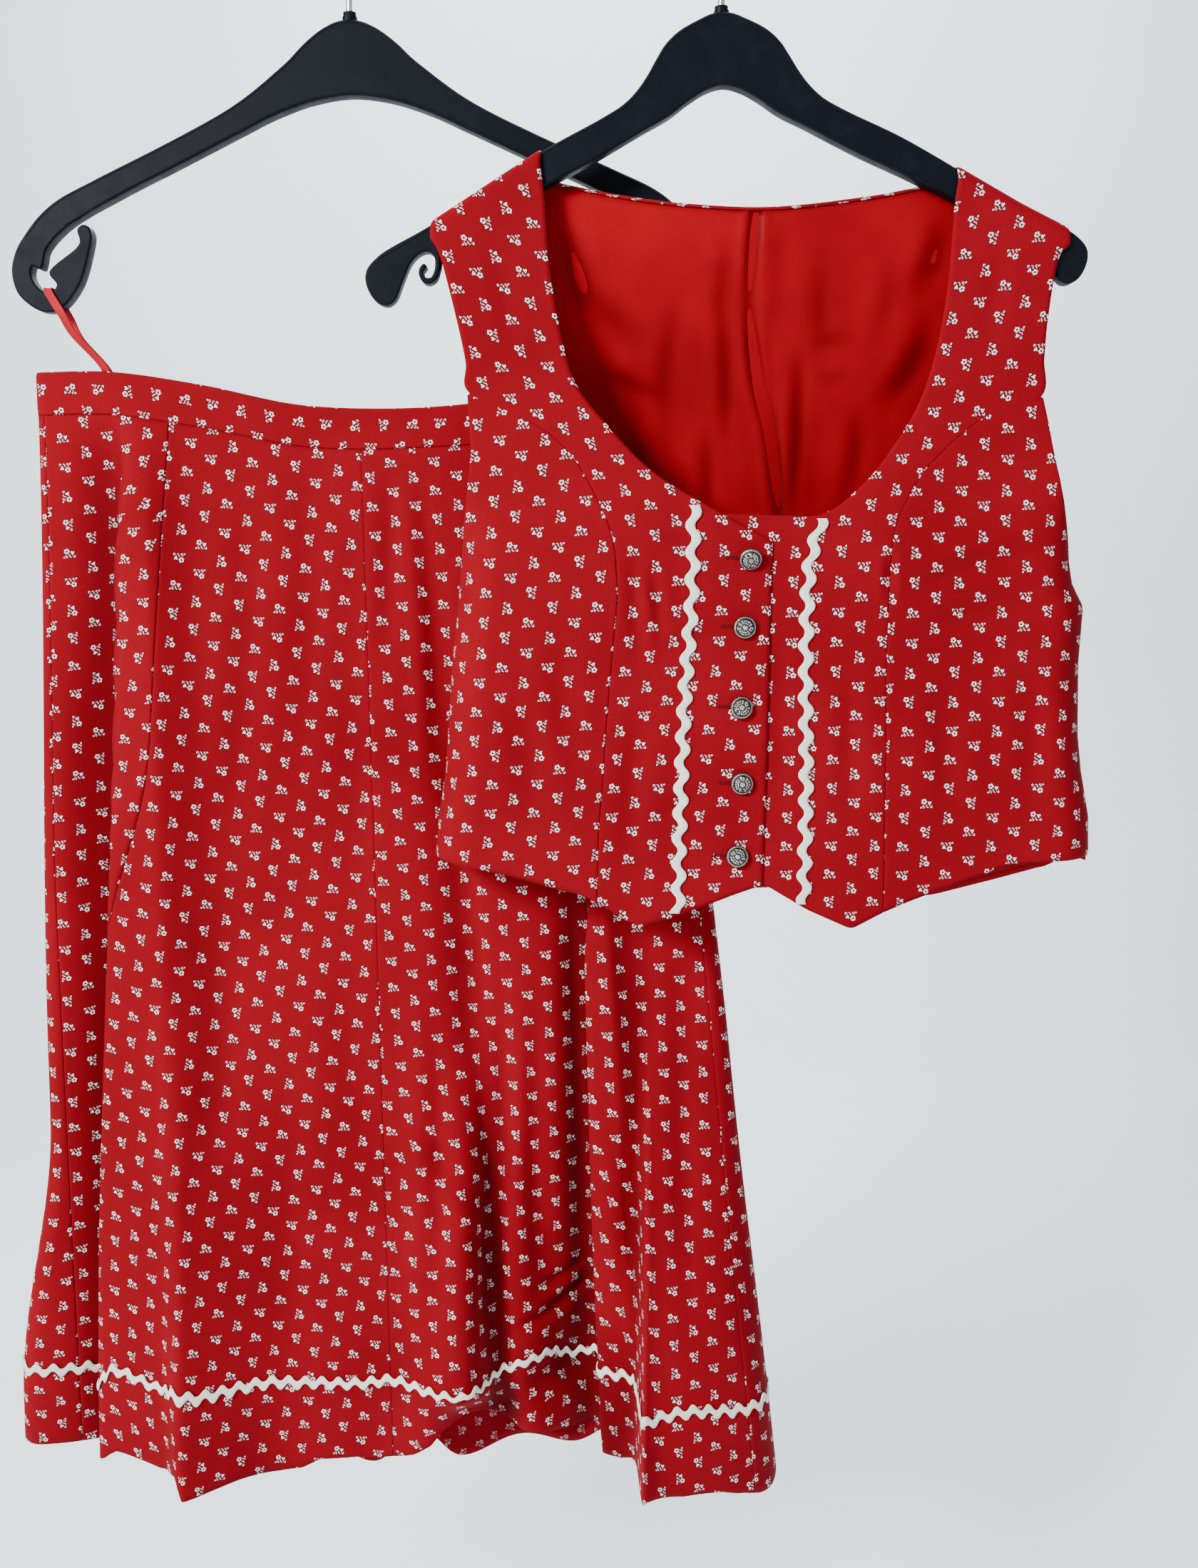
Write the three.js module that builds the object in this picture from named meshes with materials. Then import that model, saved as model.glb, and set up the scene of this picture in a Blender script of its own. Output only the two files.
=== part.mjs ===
// Trachten vest and matching gored skirt, each on its own plastic clothes hanger.
// Millimetres: +X to the wearer's left as seen from the front, +Y away from the viewer, +Z up.
// The origin is the inner crown of the vest hanger's hook, where a rail carries it.
import * as THREE from 'three';

// ---- driving dimensions ----

const wall = 1.2;            // cloth wall of every garment panel
const bandWall = 1.6;        // the waistband is two layers
const liningWall = 1.0;
const liningAt = 2.1;           // depth of the lining behind the back's outer skin
const clear = 0.3;           // gap between pieces that touch
const tape = { width: 6.5, wall: 1.0 };                  // rickrack braid
const colours = { print: 0xbe141e, lining: 0xb4121c, braid: 0xe6e0d2, tape: 0xc22a33,
  hanger: 0x1a1c20, steel: 0xb9bcc0, button: 0x8c8c86 };

const rail = { radius: 20, wire: 4 };                     // inside of each hook, wire diameter
const vestHanger = { x: 4, y: -14, z: -62, tilt: 1.75, thickness: 11, bevel: 1.2 };
const skirtHanger = { x: -221, y: 16, z: -55, tilt: 1, thickness: 11, bevel: 1.2 };

// Half outlines of the hangers: distance out from the middle and drop below the neck's top.
// The rows run from the neck along the top edge, round the end and back along the underside.
const vestHangerEdge = [
  { out: 0, drop: 0 }, { out: 6, drop: 1.4 }, { out: 13, drop: 5.5 }, { out: 26, drop: 13.3 },
  { out: 34, drop: 21 }, { out: 39.5, drop: 29 }, { out: 44.5, drop: 37 }, { out: 50.5, drop: 45 },
  { out: 59, drop: 53 }, { out: 73.5, drop: 61.2 }, { out: 106.6, drop: 77.2 },
  { out: 178, drop: 118.7 }, { out: 210, drop: 135.3 }, { out: 217.9, drop: 143.9 },
  { out: 218.2, drop: 152 }, { out: 213, drop: 161.5 }, { out: 206.3, drop: 164.2 },
  { out: 201, drop: 161 }, { out: 195.5, drop: 149.8 }, { out: 190, drop: 139.3 },
  { out: 184, drop: 134.4 }, { out: 179.3, drop: 133.8 }, { out: 176.4, drop: 136.4 },
  { out: 176.3, drop: 143.4 }, { out: 179, drop: 148.6 }, { out: 182.3, drop: 148.4 },
  { out: 183.2, drop: 145 }, { out: 180.9, drop: 142.4 }, { out: 182.7, drop: 140.4 },
  { out: 186, drop: 143.8 }, { out: 185.4, drop: 149 }, { out: 181.5, drop: 152.4 },
  { out: 176.3, drop: 150.6 }, { out: 173, drop: 143.4 }, { out: 170, drop: 131 },
  { out: 113.4, drop: 101.3 }, { out: 79.5, drop: 85.2 }, { out: 48.5, drop: 69 },
  { out: 32.6, drop: 61 }, { out: 20.8, drop: 52.9 }, { out: 10, drop: 47 }, { out: 0, drop: 44.6 },
];
const skirtHangerEdge = [
  { out: 0, drop: 0 }, { out: 6, drop: 2.4 }, { out: 18, drop: 10.6 }, { out: 30, drop: 18.5 },
  { out: 38.5, drop: 26.5 }, { out: 46.8, drop: 34.5 }, { out: 57.3, drop: 42.5 },
  { out: 69, drop: 50.5 }, { out: 83, drop: 58.5 }, { out: 116, drop: 74.4 }, { out: 162.3, drop: 95.2 },
  { out: 185.4, drop: 106.3 }, { out: 197.3, drop: 115.3 }, { out: 207.4, drop: 126.7 },
  { out: 213.6, drop: 136 }, { out: 217.1, drop: 148 }, { out: 214.7, drop: 160.8 },
  { out: 208.6, drop: 167.8 }, { out: 200, drop: 172.7 }, { out: 190.5, drop: 172.4 },
  { out: 184.6, drop: 168.7 }, { out: 175, drop: 156.6 }, { out: 168.5, drop: 139.8 },
  { out: 165.6, drop: 127 }, { out: 167.2, drop: 122.4 }, { out: 171, drop: 121.1 },
  { out: 174.4, drop: 124 }, { out: 173.6, drop: 132 }, { out: 193.8, drop: 149.4 },
  { out: 189.6, drop: 156.6 }, { out: 192, drop: 160 }, { out: 197, drop: 161.1 },
  { out: 202.1, drop: 157.1 }, { out: 205.1, drop: 150.2 }, { out: 203.7, drop: 145.3 },
  { out: 198.8, drop: 147.3 }, { out: 196.7, drop: 143 }, { out: 194.6, drop: 136 },
  { out: 180.6, drop: 122.4 }, { out: 146.8, drop: 104.6 }, { out: 112.4, drop: 88.9 },
  { out: 67.6, drop: 68.2 }, { out: 49.6, drop: 60 }, { out: 24.6, drop: 51.7 }, { out: 0, drop: 48.4 },
];

// The cloth's way over a hanger arm, from the shoulder seam: length of cloth, distance out
// from the arm's middle and height above the arm's top edge.
const overArm = [
  { length: 0, out: 0.15, up: 1.9 }, { length: 5.5, out: 5.6, up: 1.8 },
  { length: 10.9, out: 9, up: -2.4 }, { length: 16.5, out: 9.2, up: -8 },
];

// Vest: how far the front and the back stand from the middle plane at each height.
const vestDepth = [
  { z: -620, front: -27, back: 27.6 }, { z: -540, front: -29, back: 28.3 },
  { z: -450, front: -31, back: 28.3 }, { z: -380, front: -31, back: 27.5 },
  { z: -300, front: -27, back: 22 }, { z: -240, front: -24, back: 7.2 },
  { z: -205, front: -23.2, back: -2.4 }, { z: -185, front: -23.2, back: -4.6 },
  { z: -140, front: -23.2, back: -4.8 },
];
const bust = { out: 6, z: -385, across: 42, along: 60, left: -58, right: 111 };
const sideGap = 0.8;           // between front and back at the side seam's outer edge
const side = { round: 26, armhole: -330, underarm: -414 };  // where front and back close at the side

// Vest fronts: armhole or side edge, princess seam and neckline or front edge on each section.
const leftFront = [
  { edge: -164, edgeZ: -205, seam: -164, seamZ: -205, neck: -101, neckZ: -172 },
  { edge: -155, edgeZ: -240, seam: -155, seamZ: -240, neck: -98, neckZ: -212 },
  { edge: -149.5, edgeZ: -266, seam: -149.5, seamZ: -266, neck: -91, neckZ: -252 },
  { edge: -148.5, edgeZ: -286, seam: -147, seamZ: -285, neck: -82, neckZ: -280 },
  { edge: -147.5, edgeZ: -304, seam: -108, seamZ: -303, neck: -63, neckZ: -304 },
  { edge: -147, edgeZ: -323, seam: -86, seamZ: -321, neck: -36, neckZ: -331 },
  { edge: -148.5, edgeZ: -347, seam: -70, seamZ: -347, neck: 0, neckZ: -355 },
  { edge: -152, edgeZ: -372, seam: -60, seamZ: -372, neck: 38.5, neckZ: -371 },
  { edge: -155.5, edgeZ: -400, seam: -57, seamZ: -400, neck: 37.7, neckZ: -400 },
];
const rightFront = [
  { edge: 208, edgeZ: -207, seam: 208, seamZ: -207, neck: 144.5, neckZ: -176 },
  { edge: 203.5, edgeZ: -240, seam: 203.5, seamZ: -240, neck: 142, neckZ: -222 },
  { edge: 202, edgeZ: -264, seam: 202, seamZ: -264, neck: 136, neckZ: -260 },
  { edge: 202, edgeZ: -288, seam: 200.5, seamZ: -287, neck: 126, neckZ: -291 },
  { edge: 203.5, edgeZ: -302, seam: 165, seamZ: -300, neck: 112, neckZ: -315 },
  { edge: 206, edgeZ: -323, seam: 139, seamZ: -321, neck: 92, neckZ: -340 },
  { edge: 210, edgeZ: -347, seam: 119, seamZ: -347, neck: 62, neckZ: -359 },
  { edge: 216, edgeZ: -372, seam: 111, seamZ: -372, neck: 12, neckZ: -366 },
  { edge: 225, edgeZ: -400, seam: 110, seamZ: -400, neck: 12, neckZ: -400 },
];
// Below the bust: side edges, princess seams and front edges by height.
const vestBody = [
  { z: -620, leftEdge: -175, leftSeam: -70,
    leftFront: 36, rightFront: 12, rightSeam: 114, rightEdge: 244 },
  { z: -575, leftEdge: -172, leftSeam: -69,
    leftFront: 36.2, rightFront: 12, rightSeam: 113.8, rightEdge: 243 },
  { z: -500, leftEdge: -165, leftSeam: -64.5,
    leftFront: 37.5, rightFront: 12, rightSeam: 112, rightEdge: 232 },
  { z: -450, leftEdge: -161, leftSeam: -60.5,
    leftFront: 37.7, rightFront: 12, rightSeam: 110.2, rightEdge: 231 },
  { z: -414, leftEdge: -157, leftSeam: -57.5,
    leftFront: 37.7, rightFront: 12, rightSeam: 110, rightEdge: 234 },
  { z: -400, leftEdge: -155.5, leftSeam: -57,
    leftFront: 37.7, rightFront: 12, rightSeam: 110, rightEdge: 225 },
  { z: -372, leftEdge: -152, leftSeam: -60,
    leftFront: 38.5, rightFront: 12, rightSeam: 111, rightEdge: 216 },
  { z: -331, leftEdge: -147, leftSeam: -80,
    leftFront: 38.5, rightFront: 12, rightSeam: 131, rightEdge: 207 },
  { z: -289, leftEdge: -148.4, leftSeam: -148,
    leftFront: 38.5, rightFront: 12, rightSeam: 200, rightEdge: 202 },
  { z: -248, leftEdge: -153, leftSeam: -153,
    leftFront: 38.5, rightFront: 12, rightSeam: 203, rightEdge: 203 },
  { z: -205, leftEdge: -164, leftSeam: -164,
    leftFront: 38.5, rightFront: 12, rightSeam: 208, rightEdge: 208 },
];
const frontHem = [
  { x: -176, z: -575 }, { x: -123, z: -585 }, { x: -78, z: -598 }, { x: -42, z: -619 },
  { x: -19.5, z: -611.5 }, { x: 20, z: -596 }, { x: 37, z: -590 }, { x: 65, z: -607 },
  { x: 94, z: -620 }, { x: 114, z: -609 }, { x: 132, z: -601 }, { x: 194, z: -577 }, { x: 245, z: -574 },
];
const backHem = [
  { x: -176, z: -577 }, { x: -120, z: -592 }, { x: -40, z: -600 }, { x: 110, z: -600 },
  { x: 190, z: -595 }, { x: 245, z: -577 },
];
const backNeck = [
  { x: -101, z: -158 }, { x: -84, z: -162 }, { x: -51, z: -168 }, { x: -17, z: -172 },
  { x: 36, z: -174 }, { x: 95, z: -168 }, { x: 128, z: -162 }, { x: 143.5, z: -158 },
];
const strap = {
  left: { outer: -170, inner: -103.5, lowOuter: -164, lowOuterZ: -205, lowInner: -101 },
  right: { outer: 215, inner: 146, lowOuter: 208, lowOuterZ: -207, lowInner: 143.5 },
};
const placket = { lift: 1.9, from: -22, to: 8 };           // the left front laps over the right

const button = { radius: 7, height: 5.2, turns: 12 };
const buttons = [
  { x: 24.4, z: -384, lean: 24 }, { x: 21.7, z: -426, lean: 4 }, { x: 20.5, z: -476, lean: -5 },
  { x: 21.7, z: -524, lean: 3 }, { x: 19.5, z: -571, lean: -4 },
];
const vestBraid = { period: 16.5, swing: 1.8 };
const vestBraids = {
  left: [{ z: -352, x: -10.5 }, { z: -407, x: -11.3 }, { z: -474, x: -15 }, { z: -549, x: -17 },
    { z: -609, x: -17.7 }],
  right: [{ z: -360, x: 68 }, { z: -380, x: 62.5 }, { z: -397, x: 60.4 }, { z: -450, x: 60.2 },
    { z: -524, x: 62.3 }, { z: -603, x: 62.7 }],
};

// Skirt: outline, waist line and how the flat tube opens from the waist to the hem.
const skirt = {
  band: 27, waistLeft: -432, waistRight: -33, flareLeft: 24, kickLeft: 25, kickFrom: 0.68, kickTo: 0.95,
  flareRight: 94, waistY: 34, hemY: 46, waistRadius: 5, hemRadius: 17, hemZ: -1018,
};
const waistTop = [
  { x: -435, z: -266 }, { x: -383, z: -265.5 }, { x: -328, z: -273 }, { x: -253, z: -287 },
  { x: -154, z: -285.5 }, { x: -70, z: -268 }, { x: -30, z: -266 },
];
// Soft folds, one row each. face is front or back; waist and hem are where the crest runs; out is
// how far it stands out at the hem (inward when negative); left and right are its slopes' widths;
// lean pushes the crest sideways; lower lets the hem hang lower there; it grows from a height.
const folds = [
  { face: 'front', waist: -168, hem: -140, out: -6, left: 14, right: 18, lean: 0, lower: 0, from: 0.03 },
  { face: 'front', waist: -290, hem: -272, out: 12, left: 60, right: 70, lean: 0, lower: 2, from: 0.25 },
  { face: 'front', waist: -345, hem: -362, out: 27, left: 20, right: 40, lean: -9, lower: 2, from: 0.5 },
  { face: 'front', waist: -180, hem: -166, out: 33, left: 42, right: 25, lean: 6, lower: -30, from: 0.5 },
  { face: 'front', waist: -110, hem: -90, out: -25, left: 26, right: 24, lean: 0, lower: 8, from: 0.5 },
  { face: 'front', waist: -30, hem: -26, out: 60, left: 13, right: 105, lean: -3, lower: 4, from: 0.5 },
  { face: 'front', waist: -20, hem: 40, out: 0, left: 30, right: 40, lean: 0, lower: 12, from: 0.3 },
  { face: 'back', waist: -400, hem: -425, out: 5, left: 26, right: 22, lean: 0, lower: 8, from: 0.15 },
  { face: 'back', waist: -330, hem: -340, out: 12, left: 20, right: 42, lean: 0, lower: 44, from: 0.2 },
  { face: 'back', waist: -265, hem: -245, out: 9, left: 34, right: 30, lean: 6, lower: 32, from: 0.3 },
  { face: 'back', waist: -200, hem: -168, out: 13, left: 26, right: 36, lean: -5, lower: 24, from: 0.2 },
  { face: 'back', waist: -120, hem: -88, out: 7, left: 34, right: 26, lean: 0, lower: 12, from: 0.35 },
  { face: 'back', waist: -70, hem: -10, out: 11, left: 28, right: 36, lean: 4, lower: 6, from: 0.25 },
];
// Tucks: the cloth right of the edge lies over the cloth left of it.
const tucks = [
  { waist: -380, hem: -428, step: 16, lap: 58, waistWidth: 18, hemWidth: 42, start: 0.25, from: 0.03 },
  { waist: -92, hem: -67, step: 13, lap: 25, waistWidth: 12, hemWidth: 22, start: 0, from: 0.45 },
];
// Gore seams, as places across the front or the back at the waist and at the hem.
const goreSeams = [
  { face: 'front', waist: -432, hem: -446 }, { face: 'front', waist: -344, hem: -414 },
  { face: 'front', waist: -223, hem: -217 }, { face: 'front', waist: -96, hem: -61 },
  { face: 'front', waist: -33, hem: 61 }, { face: 'back', waist: -120, hem: -72 },
  { face: 'back', waist: -231, hem: -210 }, { face: 'back', waist: -340, hem: -352 },
];
// Columns of each gore and how they crowd: over 1 towards its first seam, under 0 to its last.
const gores = [
  { name: 'skirt_front_1', columns: 12, crowd: -1.3 }, { name: 'skirt_front_2', columns: 16, crowd: 1.8 },
  { name: 'skirt_front_3', columns: 16, crowd: -1.5 }, { name: 'skirt_front_4', columns: 18, crowd: 1.4 },
  { name: 'skirt_back_1', columns: 7, crowd: 1.4 }, { name: 'skirt_back_2', columns: 6, crowd: 1 },
  { name: 'skirt_back_3', columns: 6, crowd: 1 }, { name: 'skirt_back_4', columns: 9, crowd: -1.6 },
];
const goreRows = 12;
const seamTrim = 0.32;         // taken off each gore at its seams
const skirtBraid = { period: 14, swing: 2.25, aboveHem: 60 };
const braidOff = 0.8;         // the braid is sewn on and lifts a little from the cloth
const loopTape = { width: 5.4, wall: 1, notch: { out: 195.3, drop: 160 } };

// ---- helpers ----

const group = new THREE.Group();
const { clamp, lerp, smoothstep, degToRad } = THREE.MathUtils;

function addPiece(name, geometry, material) {
  const mesh = new THREE.Mesh(geometry, new THREE.MeshStandardMaterial(material));
  mesh.name = name;
  group.add(mesh);
  return mesh;
}

// The value of one column of a table on a smooth curve through its rows.
function valueAt(rows, by, what, at) {
  const last = rows.length - 1;
  const way = Math.sign(rows[last][by] - rows[0][by]);
  const t = way > 0 ? clamp(at, rows[0][by], rows[last][by]) : clamp(at, rows[last][by], rows[0][by]);
  let i = 0;
  while (i < last - 1 && (t - rows[i + 1][by]) * way > 0) i += 1;
  const slope = (k) => {
    const a = rows[Math.max(k - 1, 0)];
    const b = rows[Math.min(k + 1, last)];
    return (b[what] - a[what]) / (b[by] - a[by]);
  };
  const [a, b] = [rows[i], rows[i + 1]];
  const span = b[by] - a[by];
  const f = (t - a[by]) / span;
  return a[what] * (1 + 2 * f) * (1 - f) ** 2 + b[what] * f * f * (3 - 2 * f)
    + span * (slope(i) * f * (1 - f) ** 2 - slope(i + 1) * f * f * (1 - f));
}

// The same on straight lines between the rows.
function straightAt(rows, by, what, at) {
  const last = rows.length - 1;
  let i = 0;
  while (i < last - 1 && (at - rows[i + 1][by]) * Math.sign(rows[last][by] - rows[0][by]) > 0) i += 1;
  const f = clamp((at - rows[i][by]) / (rows[i + 1][by] - rows[i][by]), 0, 1);
  return lerp(rows[i][what], rows[i + 1][what], f);
}

// A closed wall between two grids of points; keep says which cells it has.
function wallBetween(outer, inner, keep = () => true) {
  const [rows, columns] = [outer.length - 1, outer[0].length - 1];
  const points = [];
  const numbers = new Map();
  const at = (skin, r, c) => {
    const key = `${skin}/${r}/${c}`;
    if (!numbers.has(key)) {
      numbers.set(key, points.length / 3);
      points.push(...(skin ? inner : outer)[r][c].toArray());
    }
    return numbers.get(key);
  };
  const faces = [];
  const quad = (a, b, c, d) => faces.push(a, b, c, a, c, d);
  const has = (r, c) => r >= 0 && c >= 0 && r < rows && c < columns && keep(r, c);
  for (let r = 0; r < rows; r += 1) {
    for (let c = 0; c < columns; c += 1) {
      if (!has(r, c)) continue;
      quad(at(0, r, c), at(0, r, c + 1), at(0, r + 1, c + 1), at(0, r + 1, c));
      quad(at(1, r, c), at(1, r + 1, c), at(1, r + 1, c + 1), at(1, r, c + 1));
      if (!has(r - 1, c)) quad(at(0, r, c + 1), at(0, r, c), at(1, r, c), at(1, r, c + 1));
      if (!has(r + 1, c)) quad(at(0, r + 1, c), at(0, r + 1, c + 1), at(1, r + 1, c + 1), at(1, r + 1, c));
      if (!has(r, c - 1)) quad(at(0, r, c), at(0, r + 1, c), at(1, r + 1, c), at(1, r, c));
      if (!has(r, c + 1)) quad(at(0, r + 1, c + 1), at(0, r, c + 1), at(1, r, c + 1), at(1, r + 1, c + 1));
    }
  }
  const geometry = new THREE.BufferGeometry();
  geometry.setAttribute('position', new THREE.Float32BufferAttribute(points, 3));
  geometry.setIndex(volumeOf(points, faces) < 0 ? faces.reverse() : faces);
  geometry.computeVertexNormals();
  return geometry;
}

function volumeOf(points, faces) {
  const corner = (k) => new THREE.Vector3(points[3 * k], points[3 * k + 1], points[3 * k + 2]);
  let volume = 0;
  for (let i = 0; i < faces.length; i += 3) {
    volume += corner(faces[i]).dot(corner(faces[i + 1]).cross(corner(faces[i + 2])));
  }
  return volume;
}

// Two grids for a cloth surface given by point(a, b): the outer skin at `near` off the surface
// along its outward normal and the inner skin at `far`.
function skins(grid, point, outward, near, far) {
  const step = 0.4;
  const put = ([a, b], off) => {
    const alongA = point(a + step, b).sub(point(a - step, b));
    const alongB = point(a, b + step).sub(point(a, b - step));
    return point(a, b).addScaledVector(alongA.cross(alongB).normalize(), off * outward);
  };
  return [near, far].map((off) => grid.map((row) => row.map((place) => put(place, off))));
}

const range = (count) => Array.from({ length: count + 1 }, (_, k) => k / count);

// ---- hangers and hooks ----

function hangerGeometry(edge, size) {
  const half = edge.map((row) => new THREE.Vector2(row.out, -row.drop));
  const other = half.slice(1, -1).reverse().map((point) => new THREE.Vector2(-point.x, point.y));
  const depth = size.thickness - 2 * size.bevel;
  const geometry = new THREE.ExtrudeGeometry(new THREE.Shape([...half, ...other]), {
    depth, bevelEnabled: true, bevelThickness: size.bevel, bevelSize: size.bevel * 0.6,
    bevelOffset: -size.bevel * 0.6, bevelSegments: 1,
  });
  return geometry.translate(0, 0, -depth / 2).rotateX(Math.PI / 2);
}

function addHanger(name, edge, size, material) {
  const mesh = addPiece(name, hangerGeometry(edge, size), material);
  mesh.position.set(size.x, size.y, size.z);
  mesh.rotation.y = -degToRad(size.tilt);
}

// A wire hook: round the rail from its free end, then down a straight shank into the neck.
function hookGeometry(size) {
  const radius = rail.radius + rail.wire / 2;
  const way = Math.sign(size.y);
  const route = [200, 180, 150, 120, 90, 60, 30, 5].map((angle) => new THREE.Vector3(
    size.x, way * radius * Math.cos(degToRad(angle)), radius * Math.sin(degToRad(angle)) - rail.radius));
  route.push(new THREE.Vector3(size.x, size.y + way * 1.5, -rail.radius - 17));
  route.push(new THREE.Vector3(size.x, size.y, size.z + 9));
  route.push(new THREE.Vector3(size.x, size.y, size.z + clear));
  const round = new THREE.Shape().absarc(0, 0, rail.wire / 2, 0, 2 * Math.PI);
  return new THREE.ExtrudeGeometry(round, {
    steps: 24, curveSegments: 4, extrudePath: new THREE.CatmullRomCurve3(route), bevelEnabled: false,
  });
}

// Height of the vest hanger's top edge over a place across the vest.
function armTop(x) {
  const turn = degToRad(vestHanger.tilt);
  const top = vestHangerEdge.slice(0, 13);
  let z = vestHanger.z;
  for (let pass = 0; pass < 4; pass += 1) {
    const out = (x - vestHanger.x) * Math.cos(turn) + (z - vestHanger.z) * Math.sin(turn);
    const drop = straightAt(top, 'out', 'drop', Math.abs(out));
    z = vestHanger.z + out * Math.sin(turn) - drop * Math.cos(turn);
  }
  return z;
}

// ---- vest ----

const armEnd = overArm[overArm.length - 1];

// Cloth length below the shoulder seam for a height on the hanging part.
const lengthAt = (x, z) => armTop(x) + armEnd.up - z + armEnd.length;

function vestPoint(face, x, length) {
  const way = face === 'front' ? -1 : 1;
  if (length < armEnd.length) {
    const out = straightAt(overArm, 'length', 'out', length);
    return new THREE.Vector3(x, vestHanger.y + way * out,
      armTop(x) + straightAt(overArm, 'length', 'up', length));
  }
  const z = armTop(x) + armEnd.up - (length - armEnd.length);
  const front = valueAt(vestDepth, 'z', 'front', z);
  const back = valueAt(vestDepth, 'z', 'back', z);
  const swell = [bust.left, bust.right].reduce((sum, middle) => sum
    + bust.out * Math.exp(-(((x - middle) / bust.across) ** 2) - ((z - bust.z) / bust.along) ** 2), 0);
  const flat = face === 'front' ? front - swell : back;
  const middle = (front + back + way * sideGap) / 2;
  const inside = Math.min(x - straightAt(vestBody, 'z', 'leftEdge', z),
    straightAt(vestBody, 'z', 'rightEdge', z) - x);
  const q = clamp(inside / side.round, 0, 1);
  const closed = smoothstep(-z, -side.armhole, -side.underarm);
  return new THREE.Vector3(x, lerp(flat, middle + (flat - middle) * Math.sqrt(q * (2 - q)), closed), z);
}

// The left front is lifted where it laps over the right one.
const lapped = (x, length) => {
  const point = vestPoint('front', x, length);
  point.y -= placket.lift * smoothstep(x, placket.from, placket.to);
  return point;
};

// Sections of one front: rows over the hanger arm, table rows to the bust, then body rows.
function frontSections(rows, which, part) {
  const strapSide = strap[which];
  const sections = [];
  if (part === 'centre') {
    overArm.forEach(({ length }) => sections.push({
      from: strapSide.outer, to: strapSide.inner, length }));
  }
  rows.filter((row) => part === 'centre' || row.seam !== row.edge).forEach((row) => sections.push(
    part === 'centre'
      ? { from: row.seam, fromZ: row.seamZ, to: row.neck, toZ: row.neckZ }
      : { from: row.edge, fromZ: row.edgeZ, to: row.seam, toZ: row.seamZ }));
  const columns = part === 'centre' ? [`${which}Seam`, `${which}Front`] : [`${which}Edge`, `${which}Seam`];
  const waist = rows[rows.length - 1].seamZ;
  [0.2, 0.42, 0.64, 0.85, 1].forEach((share) => sections.push({ columns, share, waist }));
  return sections;
}

function frontPlaces(section, u) {
  if (section.length !== undefined) {
    return [lerp(section.from, section.to, u), section.length];
  }
  if (section.columns) {
    let x = 0;
    let z = section.waist - section.share * 200;
    for (let pass = 0; pass < 3; pass += 1) {
      const [from, to] = section.columns.map((column) => straightAt(vestBody, 'z', column, z));
      x = lerp(from, to, u);
      z = lerp(section.waist, straightAt(frontHem, 'x', 'z', x), section.share);
    }
    return [x, lengthAt(x, z)];
  }
  const x = lerp(section.from, section.to, u);
  return [x, lengthAt(x, lerp(section.fromZ, section.toZ, u))];
}

function addFront(which, part, rows, crowd, columns, material) {
  const way = which === 'left' ? 1 : -1;
  const gap = clear / 2 * way;
  const shares = range(columns).map((k) => k ** crowd);
  const grid = frontSections(rows, which, part).map((section) => shares.map((u, k) => {
    const [x, length] = frontPlaces(section, u);
    const seamSide = part === 'centre' ? 0 : columns;
    return [x + (k === seamSide ? (part === 'centre' ? gap : -gap) : 0), length];
  }));
  const point = which === 'left' ? lapped : (x, length) => vestPoint('front', x, length);
  const [outer, inner] = skins(grid, point, -1, 0, -wall);
  addPiece(`vest_front_${part}_${which}`, wallBetween(outer, inner), material);
}

// Columns of the back: both straps crowd towards the armhole, the middle is even.
const backShares = { strap: range(4).map((k) => k ** 1.6), neck: range(8) };

function backColumns() {
  const left = backShares.strap.map((share) => ({ zone: 'left', share }));
  const neck = backShares.neck.slice(1, -1).map((share) => ({ zone: 'neck', share }));
  const right = backShares.strap.map((share) => ({ zone: 'right', share })).reverse();
  return [...left, ...neck, ...right];
}

function backPlace(column, share, inset, topDrop, hemRise) {
  const { left, right } = strap;
  const acrossAt = (z) => {
    if (column.zone === 'neck') return lerp(left.lowInner, right.lowInner, column.share);
    const edge = column.zone === 'left' ? straightAt(vestBody, 'z', 'leftEdge', z) + inset
      : straightAt(vestBody, 'z', 'rightEdge', z) - inset;
    return lerp(edge, strap[column.zone].lowInner, column.share);
  };
  const topX = acrossAt(-205);
  const { lowOuter, lowOuterZ, lowInner } = strap[column.zone] ?? left;
  const top = column.zone === 'neck' ? valueAt(backNeck, 'x', 'z', topX)
    : lerp(lowOuterZ, backNeck[0].z, (topX - lowOuter) / (lowInner - lowOuter));
  const hem = straightAt(backHem, 'x', 'z', acrossAt(backHem[0].z)) + hemRise;
  const z = lerp(top - topDrop, hem, share);
  const x = acrossAt(z);
  return [x, lengthAt(x, z)];
}

function addBack(print, lining) {
  const columns = backColumns();
  const strapRows = overArm.map(({ length }) => columns.map(({ zone, share }) => {
    const { outer, inner } = strap[zone === 'neck' ? 'left' : zone];
    return [lerp(outer, inner, share), length];
  }));
  const bodyRows = [0, 0.08, 0.18, 0.28, 0.38, 0.48, 0.58, 0.7, 0.85, 1];
  const grid = [...strapRows, ...bodyRows.map((share) => columns.map(
    (column) => backPlace(column, share, 0, 0, 0)))];
  const point = (x, length) => vestPoint('back', x, length);
  const [outer, inner] = skins(grid, point, 1, 0, -wall);
  const neckFrom = backShares.strap.length - 1;
  const neckTo = neckFrom + backShares.neck.length - 1;
  const keep = (r, c) => r >= overArm.length || c < neckFrom || c >= neckTo;
  addPiece('vest_back', wallBetween(outer, inner, keep), print);

  const inside = bodyRows.map((share) => columns.map((column) => backPlace(column, share, 31, 1.5, 5)));
  const [liningOuter, liningInner] = skins(inside, point, 1, -liningAt, -liningAt - liningWall);
  addPiece('vest_back_lining', wallBetween(liningOuter, liningInner), lining);
}

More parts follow.
